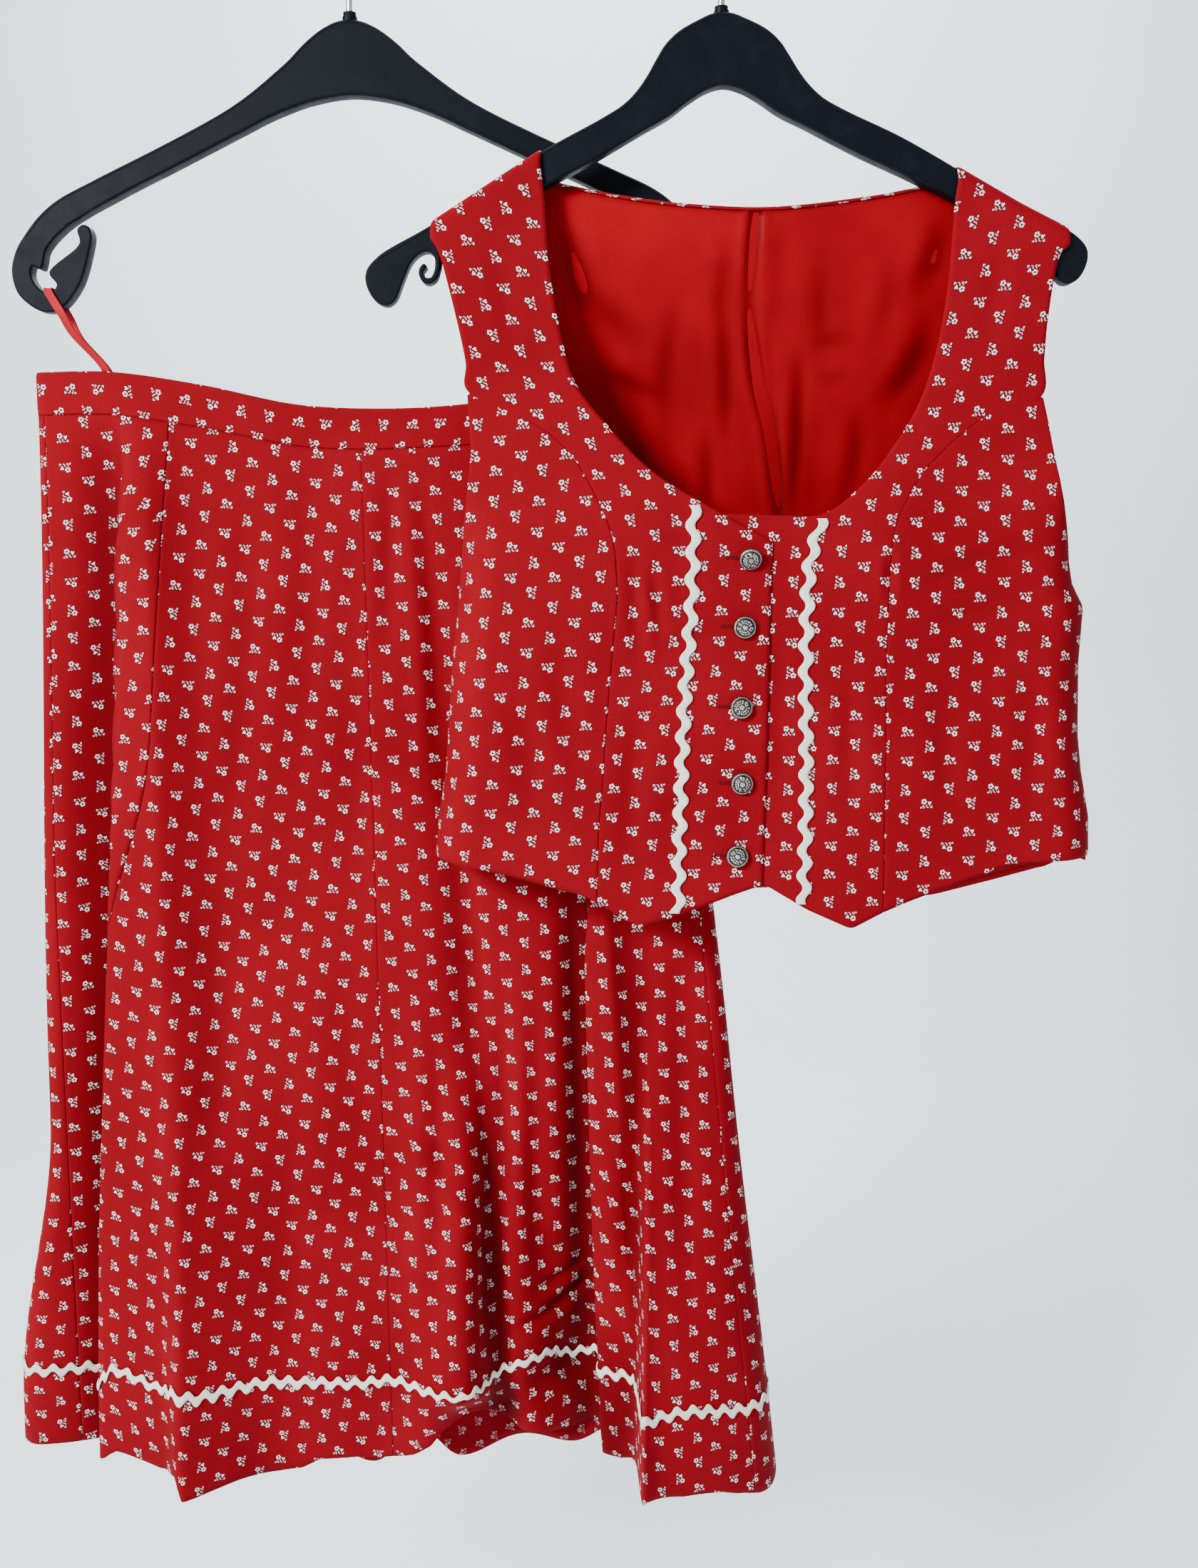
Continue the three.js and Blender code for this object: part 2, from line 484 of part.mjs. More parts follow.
// A zigzag braid along a line on a cloth surface: two sections to each wave.
function braidGeometry(point, line, { period, swing }) {
  const turns = Math.round(line.length / (period / 2));
  const zigzag = (share) => swing * (4 * Math.abs(((share * turns / 2) % 1) - 0.5) - 1);
  const shares = [...range(turns), ...line.bends].sort((a, b) => a - b)
    .filter((share, k, all) => k === 0 || share - all[k - 1] > 0.8 / line.length);
  const grid = shares.map((share) => [-1, 1].map(
    (edge) => line.place(share, zigzag(share) + edge * tape.width / 2)));
  const [outer, inner] = skins(grid, point, -1, braidOff + tape.wall, braidOff);
  return wallBetween(outer, inner);
}

function addVestBraid(name, rows, point, material) {
  const [top, bottom] = [rows[0].z, rows[rows.length - 1].z];
  const line = {
    length: top - bottom,
    bends: [],
    place: (share, shift) => {
      const z = lerp(top, bottom, share);
      const x = valueAt(rows, 'z', 'x', z) + shift;
      return [x, lengthAt(x, z)];
    },
  };
  addPiece(name, braidGeometry(point, line, vestBraid), material);
}

function addButton(number, { x, z, lean }, material) {
  const { radius, height } = button;
  const profile = [[0, 0], [radius * 0.6, 0], [radius * 0.95, 0.7], [radius, 1.7], [radius * 0.86, 3.4],
    [radius * 0.5, 4.7], [0, height]].map(([r, h]) => new THREE.Vector2(r, h));
  const mesh = addPiece(`vest_button_${number}`, new THREE.LatheGeometry(profile, button.turns), material);
  const turn = degToRad(lean);
  const low = Math.max(...profile.map((edge) => edge.x * Math.sin(Math.abs(turn)) - edge.y * Math.cos(turn)));
  mesh.position.set(x, lapped(x, lengthAt(x, z)).y - clear - low, z);
  mesh.rotation.x = Math.PI + turn;
}

// ---- skirt ----

// The flat tube without folds, at a share of the way down: its edges and its round ends.
function skirtRing(down) {
  const left = skirt.waistLeft - skirt.flareLeft * Math.max(down, 0) ** 1.2
    - skirt.kickLeft * smoothstep(down, skirt.kickFrom, skirt.kickTo);
  const right = skirt.waistRight + skirt.flareRight * down;
  const radius = lerp(skirt.waistRadius, skirt.hemRadius, down);
  const straight = right - left - 2 * radius;
  return { left, right, radius, straight, y: lerp(skirt.waistY, skirt.hemY, down),
    girth: 2 * straight + 2 * Math.PI * radius };
}

// Length round the ring, from the left edge over the front, to a place across one face.
function roundTo(ring, face, x) {
  const across = clamp(x - ring.left - ring.radius, 0, ring.straight);
  const corner = Math.PI * ring.radius / 2;
  return face === 'front' ? corner + across : 3 * corner + 2 * ring.straight - across;
}

function ringPoint(ring, round) {
  const corner = Math.PI * ring.radius / 2;
  const s = ((round % ring.girth) + ring.girth) % ring.girth;
  const arc = (middleX, turn) => [
    middleX - ring.radius * Math.cos(turn), ring.y - ring.radius * Math.sin(turn)];
  if (s < corner) return arc(ring.left + ring.radius, s / ring.radius);
  if (s < corner + ring.straight) return [ring.left + ring.radius + s - corner, ring.y - ring.radius];
  if (s < 3 * corner + ring.straight) {
    return arc(ring.right - ring.radius, (s - ring.straight) / ring.radius);
  }
  if (s < 3 * corner + 2 * ring.straight) {
    return [ring.right - ring.radius - (s - 3 * corner - ring.straight), ring.y + ring.radius];
  }
  return arc(ring.left + ring.radius, (s - ring.girth) / ring.radius);
}

// Signed way round from one place of the ring to another, the short way.
function wayRound(ring, from, to) {
  const way = to - from;
  return way - ring.girth * Math.round(way / ring.girth);
}

// A point of the skirt: share of the girth from the left edge, and share of the way down.
function skirtPoint(share, down) {
  const ring = skirtRing(down);
  const round = share * ring.girth;
  const waistRing = skirtRing(0);
  const waistX = ringPoint(waistRing, share * waistRing.girth)[0];
  let [x, y] = ringPoint(ring, round);
  let lower = 0;
  folds.forEach((fold) => {
    const crest = roundTo(ring, fold.face, lerp(fold.waist, fold.hem, down));
    const away = wayRound(ring, crest, round) * (fold.face === 'front' ? 1 : -1);
    const bump = Math.exp(-((away / (away < 0 ? fold.left : fold.right)) ** 2));
    const grown = smoothstep(down, fold.from, 1);
    y -= (fold.face === 'front' ? 1 : -1) * fold.out * bump * grown;
    x += fold.lean * bump * grown;
    lower += fold.lower * bump;
  });
  tucks.forEach((tuck) => {
    const width = lerp(tuck.waistWidth, tuck.hemWidth, down);
    const edge = tuck.waist + (tuck.hem - tuck.waist) * Math.max(down, 0) ** 1.3;
    const q = wayRound(ring, roundTo(ring, 'front', edge + width / 3), round) / width;
    const grown = lerp(tuck.start, 1, smoothstep(down, 0, 1)) * smoothstep(down, tuck.from, tuck.from + 0.12);
    y -= tuck.step * Math.sqrt(grown) * q * Math.exp((1 - q * q) / 2);
    if (Math.abs(q) < 1) {
      x -= tuck.lap * grown * Math.sin(Math.PI * q) * Math.cos(Math.PI * q / 2) ** 2;
    }
  });
  const top = valueAt(waistTop, 'x', 'z', waistX);
  return new THREE.Vector3(x, y, lerp(top, skirt.hemZ - lower, down));
}

// The same by millimetres: round the hem's girth and down from the waist.
const skirtScale = { round: 1000, down: 750 };
const skirtAt = (round, down) => skirtPoint(round / skirtScale.round, down / skirtScale.down);

function seamShare(seam, down) {
  const ring = skirtRing(down);
  return roundTo(ring, seam.face, lerp(seam.waist, seam.hem, down)) / ring.girth;
}

// Share of the girth at a column of a gore; the gap at its seams is taken off by `trim`.
function goreShare(number, k, down, trim = 0) {
  const last = number === gores.length - 1;
  const from = seamShare(goreSeams[number], down);
  const to = seamShare(goreSeams[(number + 1) % gores.length], down) + (last ? 1 : 0);
  const gap = trim / skirtRing(down).girth;
  return lerp(from, to, k) + (k === 0 ? gap : 0) - (k === 1 ? gap : 0);
}

const goreColumns = ({ columns, crowd }) => range(columns).map(
  (k) => (crowd > 0 ? k ** crowd : 1 - (1 - k) ** -crowd));

const goreDowns = range(goreRows).map((k) => lerp(skirt.band / skirtScale.down, 1, k));

// A point on the flat faces of the gores, so that what is sewn on follows them.
function facetAt(round, down) {
  const share = down / skirtScale.down;
  const row = clamp(Math.floor((share - goreDowns[0]) / (goreDowns[1] - goreDowns[0])), 0, goreRows - 1);
  const f = (share - goreDowns[row]) / (goreDowns[row + 1] - goreDowns[row]);
  let place = round / skirtScale.round;
  if (place < goreShare(0, 0, share)) place += 1;
  const number = gores.findIndex((_, n) => place <= goreShare(n, 1, share) + 1e-9);
  const columns = goreColumns(gores[number]);
  const [from, to] = [goreShare(number, 0, share), goreShare(number, 1, share)];
  const across = (place - from) / (to - from);
  const column = clamp(columns.findIndex((k) => k >= across) - 1, 0, columns.length - 2);
  const g = clamp((across - columns[column]) / (columns[column + 1] - columns[column]), 0, 1);
  const corner = (r, c) => skirtPoint(
    goreShare(number, columns[column + c], goreDowns[row + r]), goreDowns[row + r]);
  const [a, b, c, d] = [corner(0, 0), corner(0, 1), corner(1, 1), corner(1, 0)];
  return g > f ? a.clone().addScaledVector(b.clone().sub(a), g).addScaledVector(c.clone().sub(b), f)
    : a.clone().addScaledVector(d.clone().sub(a), f).addScaledVector(c.clone().sub(d), g);
}

function addSkirtWall(name, shares, downs, thickness, material) {
  const grid = downs.map((down) => shares(down).map(
    (share) => [share * skirtScale.round, down * skirtScale.down]));
  const [outer, inner] = skins(grid, skirtAt, -1, 0, -thickness);
  addPiece(name, wallBetween(outer, inner), material);
}

// The waistband's columns stand over those of the gores, from the left edge round to it again.
function bandShares(from, to) {
  const seam = skirt.band / skirtScale.down;
  const all = gores.flatMap((gore, number) => goreColumns(gore).slice(1).map(
    (k) => goreShare(number, k, seam))).map((share) => share - Math.floor(share));
  const gap = clear / 2 / skirtRing(seam).girth;
  const between = all.filter((share) => share > from + 3 * gap && share < to - 3 * gap);
  return [from + gap, ...between.sort((a, b) => a - b), to - gap];
}

function addSkirt(print, braid) {
  const bandDowns = [0, (skirt.band - clear) / skirtScale.down];
  addSkirtWall('skirt_waistband_front', () => bandShares(0, 0.5), bandDowns, bandWall, print);
  addSkirtWall('skirt_waistband_back', () => bandShares(0.5, 1), bandDowns, bandWall, print);
  gores.forEach((gore, number) => addSkirtWall(gore.name, (down) => goreColumns(gore).map(
    (k) => goreShare(number, k, down, seamTrim)), goreDowns, wall, print));
  [['skirt_braid_front', 0.002, 0.498], ['skirt_braid_back', 0.502, 0.998]].forEach(([name, from, to]) => {
    addPiece(name, braidGeometry(facetAt, hemLine(from, to), skirtBraid), braid);
  });
}

// The braid's line round the skirt, evened out along the folded cloth; it bends over each column.
function hemLine(from, to) {
  const down = skirtScale.down - skirtBraid.aboveHem;
  const samples = 3000;
  const placeAt = (k) => lerp(from, to, k / samples);
  const lengths = [0];
  for (let k = 1; k <= samples; k += 1) {
    const [a, b] = [k - 1, k].map((n) => skirtAt(placeAt(n) * skirtScale.round, down));
    lengths.push(lengths[k - 1] + a.distanceTo(b));
  }
  const length = lengths[samples];
  const columns = gores.flatMap((gore, number) => goreColumns(gore).slice(1).map(
    (k) => goreShare(number, k, down / skirtScale.down) % 1));
  return {
    length,
    bends: columns.filter((share) => share > from && share < to)
      .map((share) => lengths[Math.round((share - from) / (to - from) * samples)] / length),
    place: (share, shift) => {
      const next = Math.max(lengths.findIndex((reach) => reach >= share * length - 1e-6), 1);
      const part = (share * length - lengths[next - 1]) / (lengths[next] - lengths[next - 1]);
      return [placeAt(next - 1 + part) * skirtScale.round, down + shift];
    },
  };
}

// A hanging loop: up in front of the hanger's end, over its notch and down behind it.
function addLoop(name, way, material) {
  const turn = degToRad(skirtHanger.tilt);
  const [out, drop] = [way * loopTape.notch.out, loopTape.notch.drop];
  const x = skirtHanger.x + out * Math.cos(turn) + drop * Math.sin(turn);
  const z = skirtHanger.z + out * Math.sin(turn) - drop * Math.cos(turn);
  const foot = way < 0 ? -387 : -76;
  const off = clear + 0.15 + loopTape.wall / 2;
  const half = skirtHanger.thickness / 2;
  const inBand = skirt.waistRadius - bandWall - 2.5 * clear - loopTape.wall / 2;
  const { bevel, y } = skirtHanger;
  const overNotch = [[-half - off, -14], [-half - off, -6], [-half - off, -bevel - 0.6],
    [-half + 0.1, 0.4], [-half + bevel, off], [0, off], [half - bevel, off], [half - 0.1, 0.4],
    [half + off, -bevel - 0.6], [half + off, -6], [half + off, -15]];
  const route = new THREE.CatmullRomCurve3([
    [foot, skirt.waistY - inBand, -286], [foot - way, skirt.waistY - inBand, -266],
    [lerp(foot, x, 0.55), 15.5, z - 24],
    ...overNotch.map(([across, up]) => [lerp(x, foot, -Math.min(up, 0) / 46), y + across, z + up]),
    [lerp(foot, x, 0.5), y + half + 4, z - 27],
    [foot - 2 * way, skirt.waistY + inBand, -268], [foot - way, skirt.waistY + inBand, -286],
  ].map((place) => new THREE.Vector3(...place)), false, 'centripetal');
  const across = new THREE.Vector3(1, 0, 0);
  const sections = range(2 * (route.points.length - 1)).map((k) => {
    const along = route.getTangent(k);
    const wide = across.clone().addScaledVector(along, -across.dot(along)).normalize();
    return { middle: route.getPoint(k), wide, thick: along.clone().cross(wide).normalize() };
  });
  const [outer, inner] = [0.5, -0.5].map((skin) => sections.map(({ middle, wide, thick }) => [-0.5, 0.5].map(
    (edge) => middle.clone().addScaledVector(wide, edge * loopTape.width)
      .addScaledVector(thick, skin * loopTape.wall))));
  addPiece(name, wallBetween(outer, inner), material);
}

// ---- assembly ----

const printCloth = { color: colours.print, roughness: 0.85 };
const liningCloth = { color: colours.lining, roughness: 0.45 };
const braidCloth = { color: colours.braid, roughness: 0.8 };
const loopCloth = { color: colours.tape, roughness: 0.8 };
const plastic = { color: colours.hanger, roughness: 0.45 };
const steel = { color: colours.steel, roughness: 0.3, metalness: 1 };
const oldSilver = { color: colours.button, roughness: 0.4, metalness: 1 };

addHanger('vest_hanger', vestHangerEdge, vestHanger, plastic);
addHanger('skirt_hanger', skirtHangerEdge, skirtHanger, plastic);
addPiece('vest_hanger_hook', hookGeometry(vestHanger), steel);
addPiece('skirt_hanger_hook', hookGeometry(skirtHanger), steel);

addFront('left', 'centre', leftFront, 1, 8, printCloth);
addFront('left', 'side', leftFront, 1.7, 6, printCloth);
addFront('right', 'centre', rightFront, 1, 8, printCloth);
addFront('right', 'side', rightFront, 1.7, 6, printCloth);
addBack(printCloth, liningCloth);
addVestBraid('vest_braid_left', vestBraids.left, lapped, braidCloth);
addVestBraid('vest_braid_right', vestBraids.right, (x, length) => vestPoint('front', x, length), braidCloth);
buttons.forEach((place, index) => addButton(index + 1, place, oldSilver));

addSkirt(printCloth, braidCloth);
addLoop('skirt_loop_left', -1, loopCloth);
addLoop('skirt_loop_right', 1, loopCloth);

export default group;
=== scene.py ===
import math

import bmesh
import bpy
import numpy as np
from mathutils import Matrix, Vector


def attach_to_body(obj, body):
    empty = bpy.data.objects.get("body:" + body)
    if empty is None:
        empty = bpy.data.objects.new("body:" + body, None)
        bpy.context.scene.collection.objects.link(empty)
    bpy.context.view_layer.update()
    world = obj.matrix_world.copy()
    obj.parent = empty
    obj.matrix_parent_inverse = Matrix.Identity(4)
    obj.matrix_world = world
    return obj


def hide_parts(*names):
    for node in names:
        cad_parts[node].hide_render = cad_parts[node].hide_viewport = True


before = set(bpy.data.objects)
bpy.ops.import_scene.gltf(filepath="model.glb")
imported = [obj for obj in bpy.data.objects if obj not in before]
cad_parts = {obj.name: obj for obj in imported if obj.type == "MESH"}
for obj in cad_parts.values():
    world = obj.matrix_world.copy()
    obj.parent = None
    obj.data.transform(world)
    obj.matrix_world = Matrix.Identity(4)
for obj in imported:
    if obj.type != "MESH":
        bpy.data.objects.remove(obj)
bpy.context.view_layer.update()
mm = 0.001                     # sizes below are millimetres, meshes are metres


def table(columns, *rows):
    # a short table of sizes: named columns, one row for each section or fold
    return {name: np.array([row[k] for row in rows], float) for k, name in enumerate(columns.split())}


def rowsOf(rows):
    count = len(next(iter(rows.values())))
    return [{name: values[k] for name, values in rows.items()} for k in range(count)]


def lineAt(rows, by, what, at):
    x, y = rows[by], rows[what]
    return np.interp(at, x, y) if x[0] < x[-1] else np.interp(at, x[::-1], y[::-1])


def curveAt(rows, by, what, at):
    # one column of a table on a smooth curve through its rows
    x, y = rows[by], rows[what]
    if x[0] > x[-1]:
        x, y = x[::-1], y[::-1]
    at = np.clip(at, x[0], x[-1])
    i = np.clip(np.searchsorted(x, at, side="right") - 1, 0, len(x) - 2)
    slope = np.empty_like(y)
    slope[1:-1] = (y[2:] - y[:-2]) / (x[2:] - x[:-2])
    slope[0] = (y[1] - y[0]) / (x[1] - x[0])
    slope[-1] = (y[-1] - y[-2]) / (x[-1] - x[-2])
    span = x[i + 1] - x[i]
    f = (at - x[i]) / span
    return (y[i] * (1 + 2 * f) * (1 - f) ** 2 + y[i + 1] * f * f * (3 - 2 * f)
            + span * (slope[i] * f * (1 - f) ** 2 - slope[i + 1] * f * f * (1 - f)))


def mix(a, b, share):
    return a + (b - a) * share


def smoothStep(at, low, high):
    t = np.clip((at - low) / (high - low), 0, 1)
    return t * t * (3 - 2 * t)


creaseForm = {"taper": 1.2, "ridge": 0.42, "ridgeAt": 1.7, "shadeTo": 0.9}


def alongCrease(row, a, b):
    # distance from the crease's bowed line in its own widths, and how strong it is there
    wayA, wayB = row["toA"] - row["fromA"], row["toB"] - row["fromB"]
    length = math.hypot(wayA, wayB)
    along = ((a - row["fromA"]) * wayA + (b - row["fromB"]) * wayB) / length ** 2
    side = ((b - row["fromB"]) * wayA - (a - row["fromA"]) * wayB) / length
    away = (side - row["bow"] * 4 * along * (1 - along)) / row["width"]
    return away, np.sin(np.pi * np.clip(along, 0, 1) ** row["lean"]) ** creaseForm["taper"]


def creased(a, b, rows):
    # height of soft troughs, a ridge at each side, along short lines of the cloth; a and b are its two ways
    height = np.zeros_like(a, dtype=float)
    for row in rowsOf(rows):
        t, strength = alongCrease(row, a, b)
        shape = np.exp(-t * t)
        for ridge in (creaseForm["ridgeAt"], -creaseForm["ridgeAt"]):
            shape = shape - creaseForm["ridge"] * np.exp(-((t - ridge) ** 2))
        height -= row["depth"] * strength * shape
    return height


def creaseShade(a, b, rows, full):
    # painted shade: how dark the bottoms of the troughs are, 1 where a trough is as deep as the full depth
    shade = np.zeros_like(a, dtype=float)
    for row in rowsOf(rows):
        t, strength = alongCrease(row, a, b)
        shade += max(row["depth"], 0) / full * strength * np.exp(-(creaseForm["shadeTo"] * t) ** 2)
    return np.clip(shade, 0, 1)


def newNode(tree, kind, **values):
    node = tree.nodes.new(kind)
    for name, value in values.items():
        setattr(node, name, value)
    return node


def feed(tree, socket, value):
    # a socket takes another node's output or a plain value
    if isinstance(value, bpy.types.NodeSocket):
        tree.links.new(value, socket)
    elif value is not None:
        socket.default_value = value


def maths(tree, operation, *values):
    node = newNode(tree, "ShaderNodeMath", operation=operation)
    for k, value in enumerate(values):
        feed(tree, node.inputs[k], value)
    return node.outputs[0]


def vectors(tree, operation, *values):
    node = newNode(tree, "ShaderNodeVectorMath", operation=operation)
    for k, value in enumerate(values):
        feed(tree, node.inputs[k], value)
    return node.outputs["Value" if operation in ("LENGTH", "DOT_PRODUCT") else "Vector"]


def fade(tree, value, low, high, toLow=0.0, toHigh=1.0):
    node = newNode(tree, "ShaderNodeMapRange", interpolation_type="SMOOTHSTEP")
    for k, given in enumerate((value, low, high, toLow, toHigh)):
        feed(tree, node.inputs[k], given)
    return node.outputs[0]


def mixColour(tree, share, a, b, blend="MIX"):
    node = newNode(tree, "ShaderNodeMix", data_type="RGBA", blend_type=blend)
    for name, value in (("Factor_Float", share), ("A_Color", a), ("B_Color", b)):
        feed(tree, next(s for s in node.inputs if s.identifier == name), value)
    return next(s for s in node.outputs if s.identifier == "Result_Color")


def partsOf(tree, vector):
    node = newNode(tree, "ShaderNodeSeparateXYZ")
    feed(tree, node.inputs[0], vector)
    return node.outputs


def noise(tree, vector, scale, detail=2.0, roughness=0.5):
    node = newNode(tree, "ShaderNodeTexNoise")
    for name, value in (("Vector", vector), ("Scale", scale), ("Detail", detail), ("Roughness", roughness)):
        feed(tree, node.inputs[name], value)
    return node.outputs["Fac"]


def newGroup(name, inputs, outputs):
    # inputs and outputs are (name, kind) or (name, kind, default)
    tree = bpy.data.node_groups.new(name, "ShaderNodeTree")
    for way, sockets in (("INPUT", inputs), ("OUTPUT", outputs)):
        for socket in sockets:
            made = tree.interface.new_socket(name=socket[0], in_out=way, socket_type="NodeSocket" + socket[1])
            if len(socket) > 2:
                made.default_value = socket[2]
    given = tree.nodes.new("NodeGroupInput")
    result = tree.nodes.new("NodeGroupOutput")
    return tree, given.outputs, result.inputs


def placeGroup(tree, group, **values):
    node = newNode(tree, "ShaderNodeGroup", node_tree=group)
    for name, value in values.items():
        feed(tree, node.inputs[name], value)
    return node.outputs


def makeSpotGroup():
    # signed distance to an oval spot of the print, in millimetres
    tree, given, result = newGroup("printSpot", [
        ("Place", "Vector"), ("Middle", "Vector"), ("Turn", "Float"), ("Half", "Vector", (1, 0.5, 1))],
        [("Distance", "Float")])
    turned = newNode(tree, "ShaderNodeVectorRotate", rotation_type="Z_AXIS")
    feed(tree, turned.inputs["Vector"], vectors(tree, "SUBTRACT", given["Place"], given["Middle"]))
    feed(tree, turned.inputs["Angle"], maths(tree, "MULTIPLY", given["Turn"], -math.pi / 180))
    reach = vectors(tree, "LENGTH", vectors(tree, "DIVIDE", turned.outputs[0], given["Half"]))
    halfWidth = partsOf(tree, given["Half"])[1]
    feed(tree, result["Distance"], maths(tree, "MULTIPLY", maths(tree, "SUBTRACT", reach, 1.0), halfWidth))
    return tree


spotGroup = makeSpotGroup()

sprig = {
    "column": 14.0, "row": 18.5, "drop": 0.49,       # lattice of the print, mm
    "flower": (-1.75, 1.5), "scale": 1.05, "petal": 1.72, "petals": 5, "notch": 0.52, "eye": 0.64,
    "outline": 0.3, "soft": 0.09,
    # x, y, turn, half length, half width
    "pale": [(1.25, 0.6, 118, 1.05, 0.52), (2.0, 0.6, 62, 1.05, 0.52), (1.62, -0.35, 90, 0.55, 0.34)],
    "rosy": [(3.1, -1.55, 107, 0.85, 0.32), (2.5, -2.0, 148, 0.8, 0.3), (0.45, -1.95, -25, 0.85, 0.3),
             (-0.15, -0.9, -70, 0.65, 0.36), (-1.5, -2.15, 65, 0.72, 0.34), (-2.05, -1.2, -60, 0.85, 0.28),
             (-3.2, -2.2, 20, 0.78, 0.48)],
}


def makeSprigGroup():
    # small flower sprigs on a dropped lattice, in four turns, as masks
    tree, given, result = newGroup("sprigPrint", [("Place", "Vector")], [
        ("Pale", "Float"), ("Rosy", "Float"), ("Outline", "Float")])
    parts = partsOf(tree, given["Place"])
    u = maths(tree, "DIVIDE", parts[0], sprig["column"])
    column = maths(tree, "ROUND", u)
    v = maths(tree, "ADD", maths(tree, "DIVIDE", parts[1], sprig["row"]),
              maths(tree, "MULTIPLY", column, sprig["drop"]))
    row = maths(tree, "ROUND", v)
    x = maths(tree, "MULTIPLY", maths(tree, "SUBTRACT", u, column), sprig["column"])
    y = maths(tree, "MULTIPLY", maths(tree, "SUBTRACT", v, row), sprig["row"])

    # the sprig's turn steps through four: down two columns, then up the next two
    way = maths(tree, "SUBTRACT", maths(tree, "MULTIPLY", maths(
        tree, "LESS_THAN", maths(tree, "FLOORED_MODULO", column, 4.0), 1.5), 2.0), 1.0)
    step = maths(tree, "ADD", maths(tree, "MULTIPLY", way, row), maths(
        tree, "MULTIPLY", maths(tree, "FLOORED_MODULO", column, 2.0), 2.0))
    turn = maths(tree, "FLOORED_MODULO", step, 4.0)
    swapped = maths(tree, "LESS_THAN", maths(tree, "ABSOLUTE", maths(tree, "SUBTRACT", turn, 1.5)), 0.9)
    sign = maths(tree, "SUBTRACT", 1.0, maths(tree, "MULTIPLY", maths(
        tree, "FLOORED_MODULO", turn, 2.0), 2.0))
    plain, crossed = [newNode(tree, "ShaderNodeCombineXYZ") for _ in range(2)]
    for node, pair in ((plain, (x, y)), (crossed, (y, x))):
        feed(tree, node.inputs[0], pair[0])
        feed(tree, node.inputs[1], pair[1])
    chosen = newNode(tree, "ShaderNodeMix", data_type="VECTOR")
    for name, value in (("Factor_Float", swapped), ("A_Vector", plain.outputs[0]), ("B_Vector", crossed.outputs[0])):
        feed(tree, next(s for s in chosen.inputs if s.identifier == name), value)
    scaled = newNode(tree, "ShaderNodeVectorMath", operation="SCALE")
    feed(tree, scaled.inputs[0], next(s for s in chosen.outputs if s.identifier == "Result_Vector"))
    feed(tree, scaled.inputs["Scale"], maths(tree, "DIVIDE", sign, sprig["scale"]))
    place = scaled.outputs[0]

    def nearest(shapes):
        found = None
        for middleX, middleY, angle, halfLength, halfWidth in shapes:
            spot = placeGroup(tree, spotGroup, Place=place, Middle=(middleX, middleY, 0), Turn=float(angle),
                              Half=(halfLength, halfWidth, 1))["Distance"]
            found = spot if found is None else maths(tree, "MINIMUM", found, spot)
        return found

    fromEye = vectors(tree, "SUBTRACT", place, (*sprig["flower"], 0))
    reach = vectors(tree, "LENGTH", fromEye)
    around = partsOf(tree, fromEye)
    angle = maths(tree, "ARCTAN2", around[1], around[0])
    lobes = maths(tree, "SQRT", maths(tree, "ABSOLUTE", maths(tree, "COSINE", maths(
        tree, "MULTIPLY", angle, sprig["petals"] / 2))))
    notch = sprig["notch"]
    petals = maths(tree, "SUBTRACT", reach, maths(
        tree, "MULTIPLY_ADD", lobes, notch * sprig["petal"], (1 - notch) * sprig["petal"]))
    pale = maths(tree, "MINIMUM", petals, nearest(sprig["pale"]))
    rosy = nearest(sprig["rosy"])
    soft = sprig["soft"]
    eye = fade(tree, reach, sprig["eye"] - soft, sprig["eye"] + soft, 1, 0)
    paleMask = fade(tree, pale, -soft, soft, 1, 0)
    rosyMask = fade(tree, rosy, -soft, soft, 1, 0)
    grown = fade(tree, maths(tree, "MINIMUM", pale, rosy), sprig["outline"] - soft, sprig["outline"] + soft, 1, 0)
    feed(tree, result["Pale"], maths(tree, "MULTIPLY", paleMask, maths(tree, "SUBTRACT", 1.0, eye)))
    feed(tree, result["Rosy"], rosyMask)
    feed(tree, result["Outline"], grown)
    return tree


def makeWeaveGroup():
    # plain weave and uneven threads, from flat places in millimetres
    tree, given, result = newGroup("plainWeave", [("Place", "Vector"), ("Pitch", "Float", 0.5)], [
        ("Height", "Float"), ("Thread", "Float")])
    parts = partsOf(tree, given["Place"])
    turns = maths(tree, "DIVIDE", 2 * math.pi, given["Pitch"])
    waves = [maths(tree, "SINE", maths(tree, "MULTIPLY", parts[k], turns)) for k in range(2)]
    feed(tree, result["Height"], maths(tree, "MULTIPLY_ADD", maths(
        tree, "MULTIPLY", waves[0], waves[1]), 0.5, 0.5))
    streaks = [noise(tree, vectors(tree, "MULTIPLY", given["Place"], stretch), 1.0)
               for stretch in ((3.2, 0.12, 1), (0.12, 3.2, 1))]
    feed(tree, result["Thread"], maths(tree, "MULTIPLY", maths(tree, "ADD", *streaks), 0.5))
    return tree


def makeWearGroup():
    # soft unevenness of colour and of nap over a whole piece
    tree, given, result = newGroup("softWear", [("Place", "Vector")], [("Cloud", "Float"), ("Nap", "Float")])
    feed(tree, result["Cloud"], fade(tree, noise(tree, given["Place"], 9.0, 3.0, 0.55), 0.3, 0.7))
    feed(tree, result["Nap"], noise(tree, given["Place"], 700.0, 3.0, 0.7))
    return tree


sprigGroup = makeSprigGroup()
weaveGroup = makeWeaveGroup()
wearGroup = makeWearGroup()


def newMaterial(name, **values):
    material = bpy.data.materials.new(name)
    material.use_nodes = True
    tree = material.node_tree
    shader = tree.nodes["Principled BSDF"]
    for socket, value in values.items():
        feed(tree, shader.inputs[socket.replace("_", " ")], value)
    return material, tree, shader


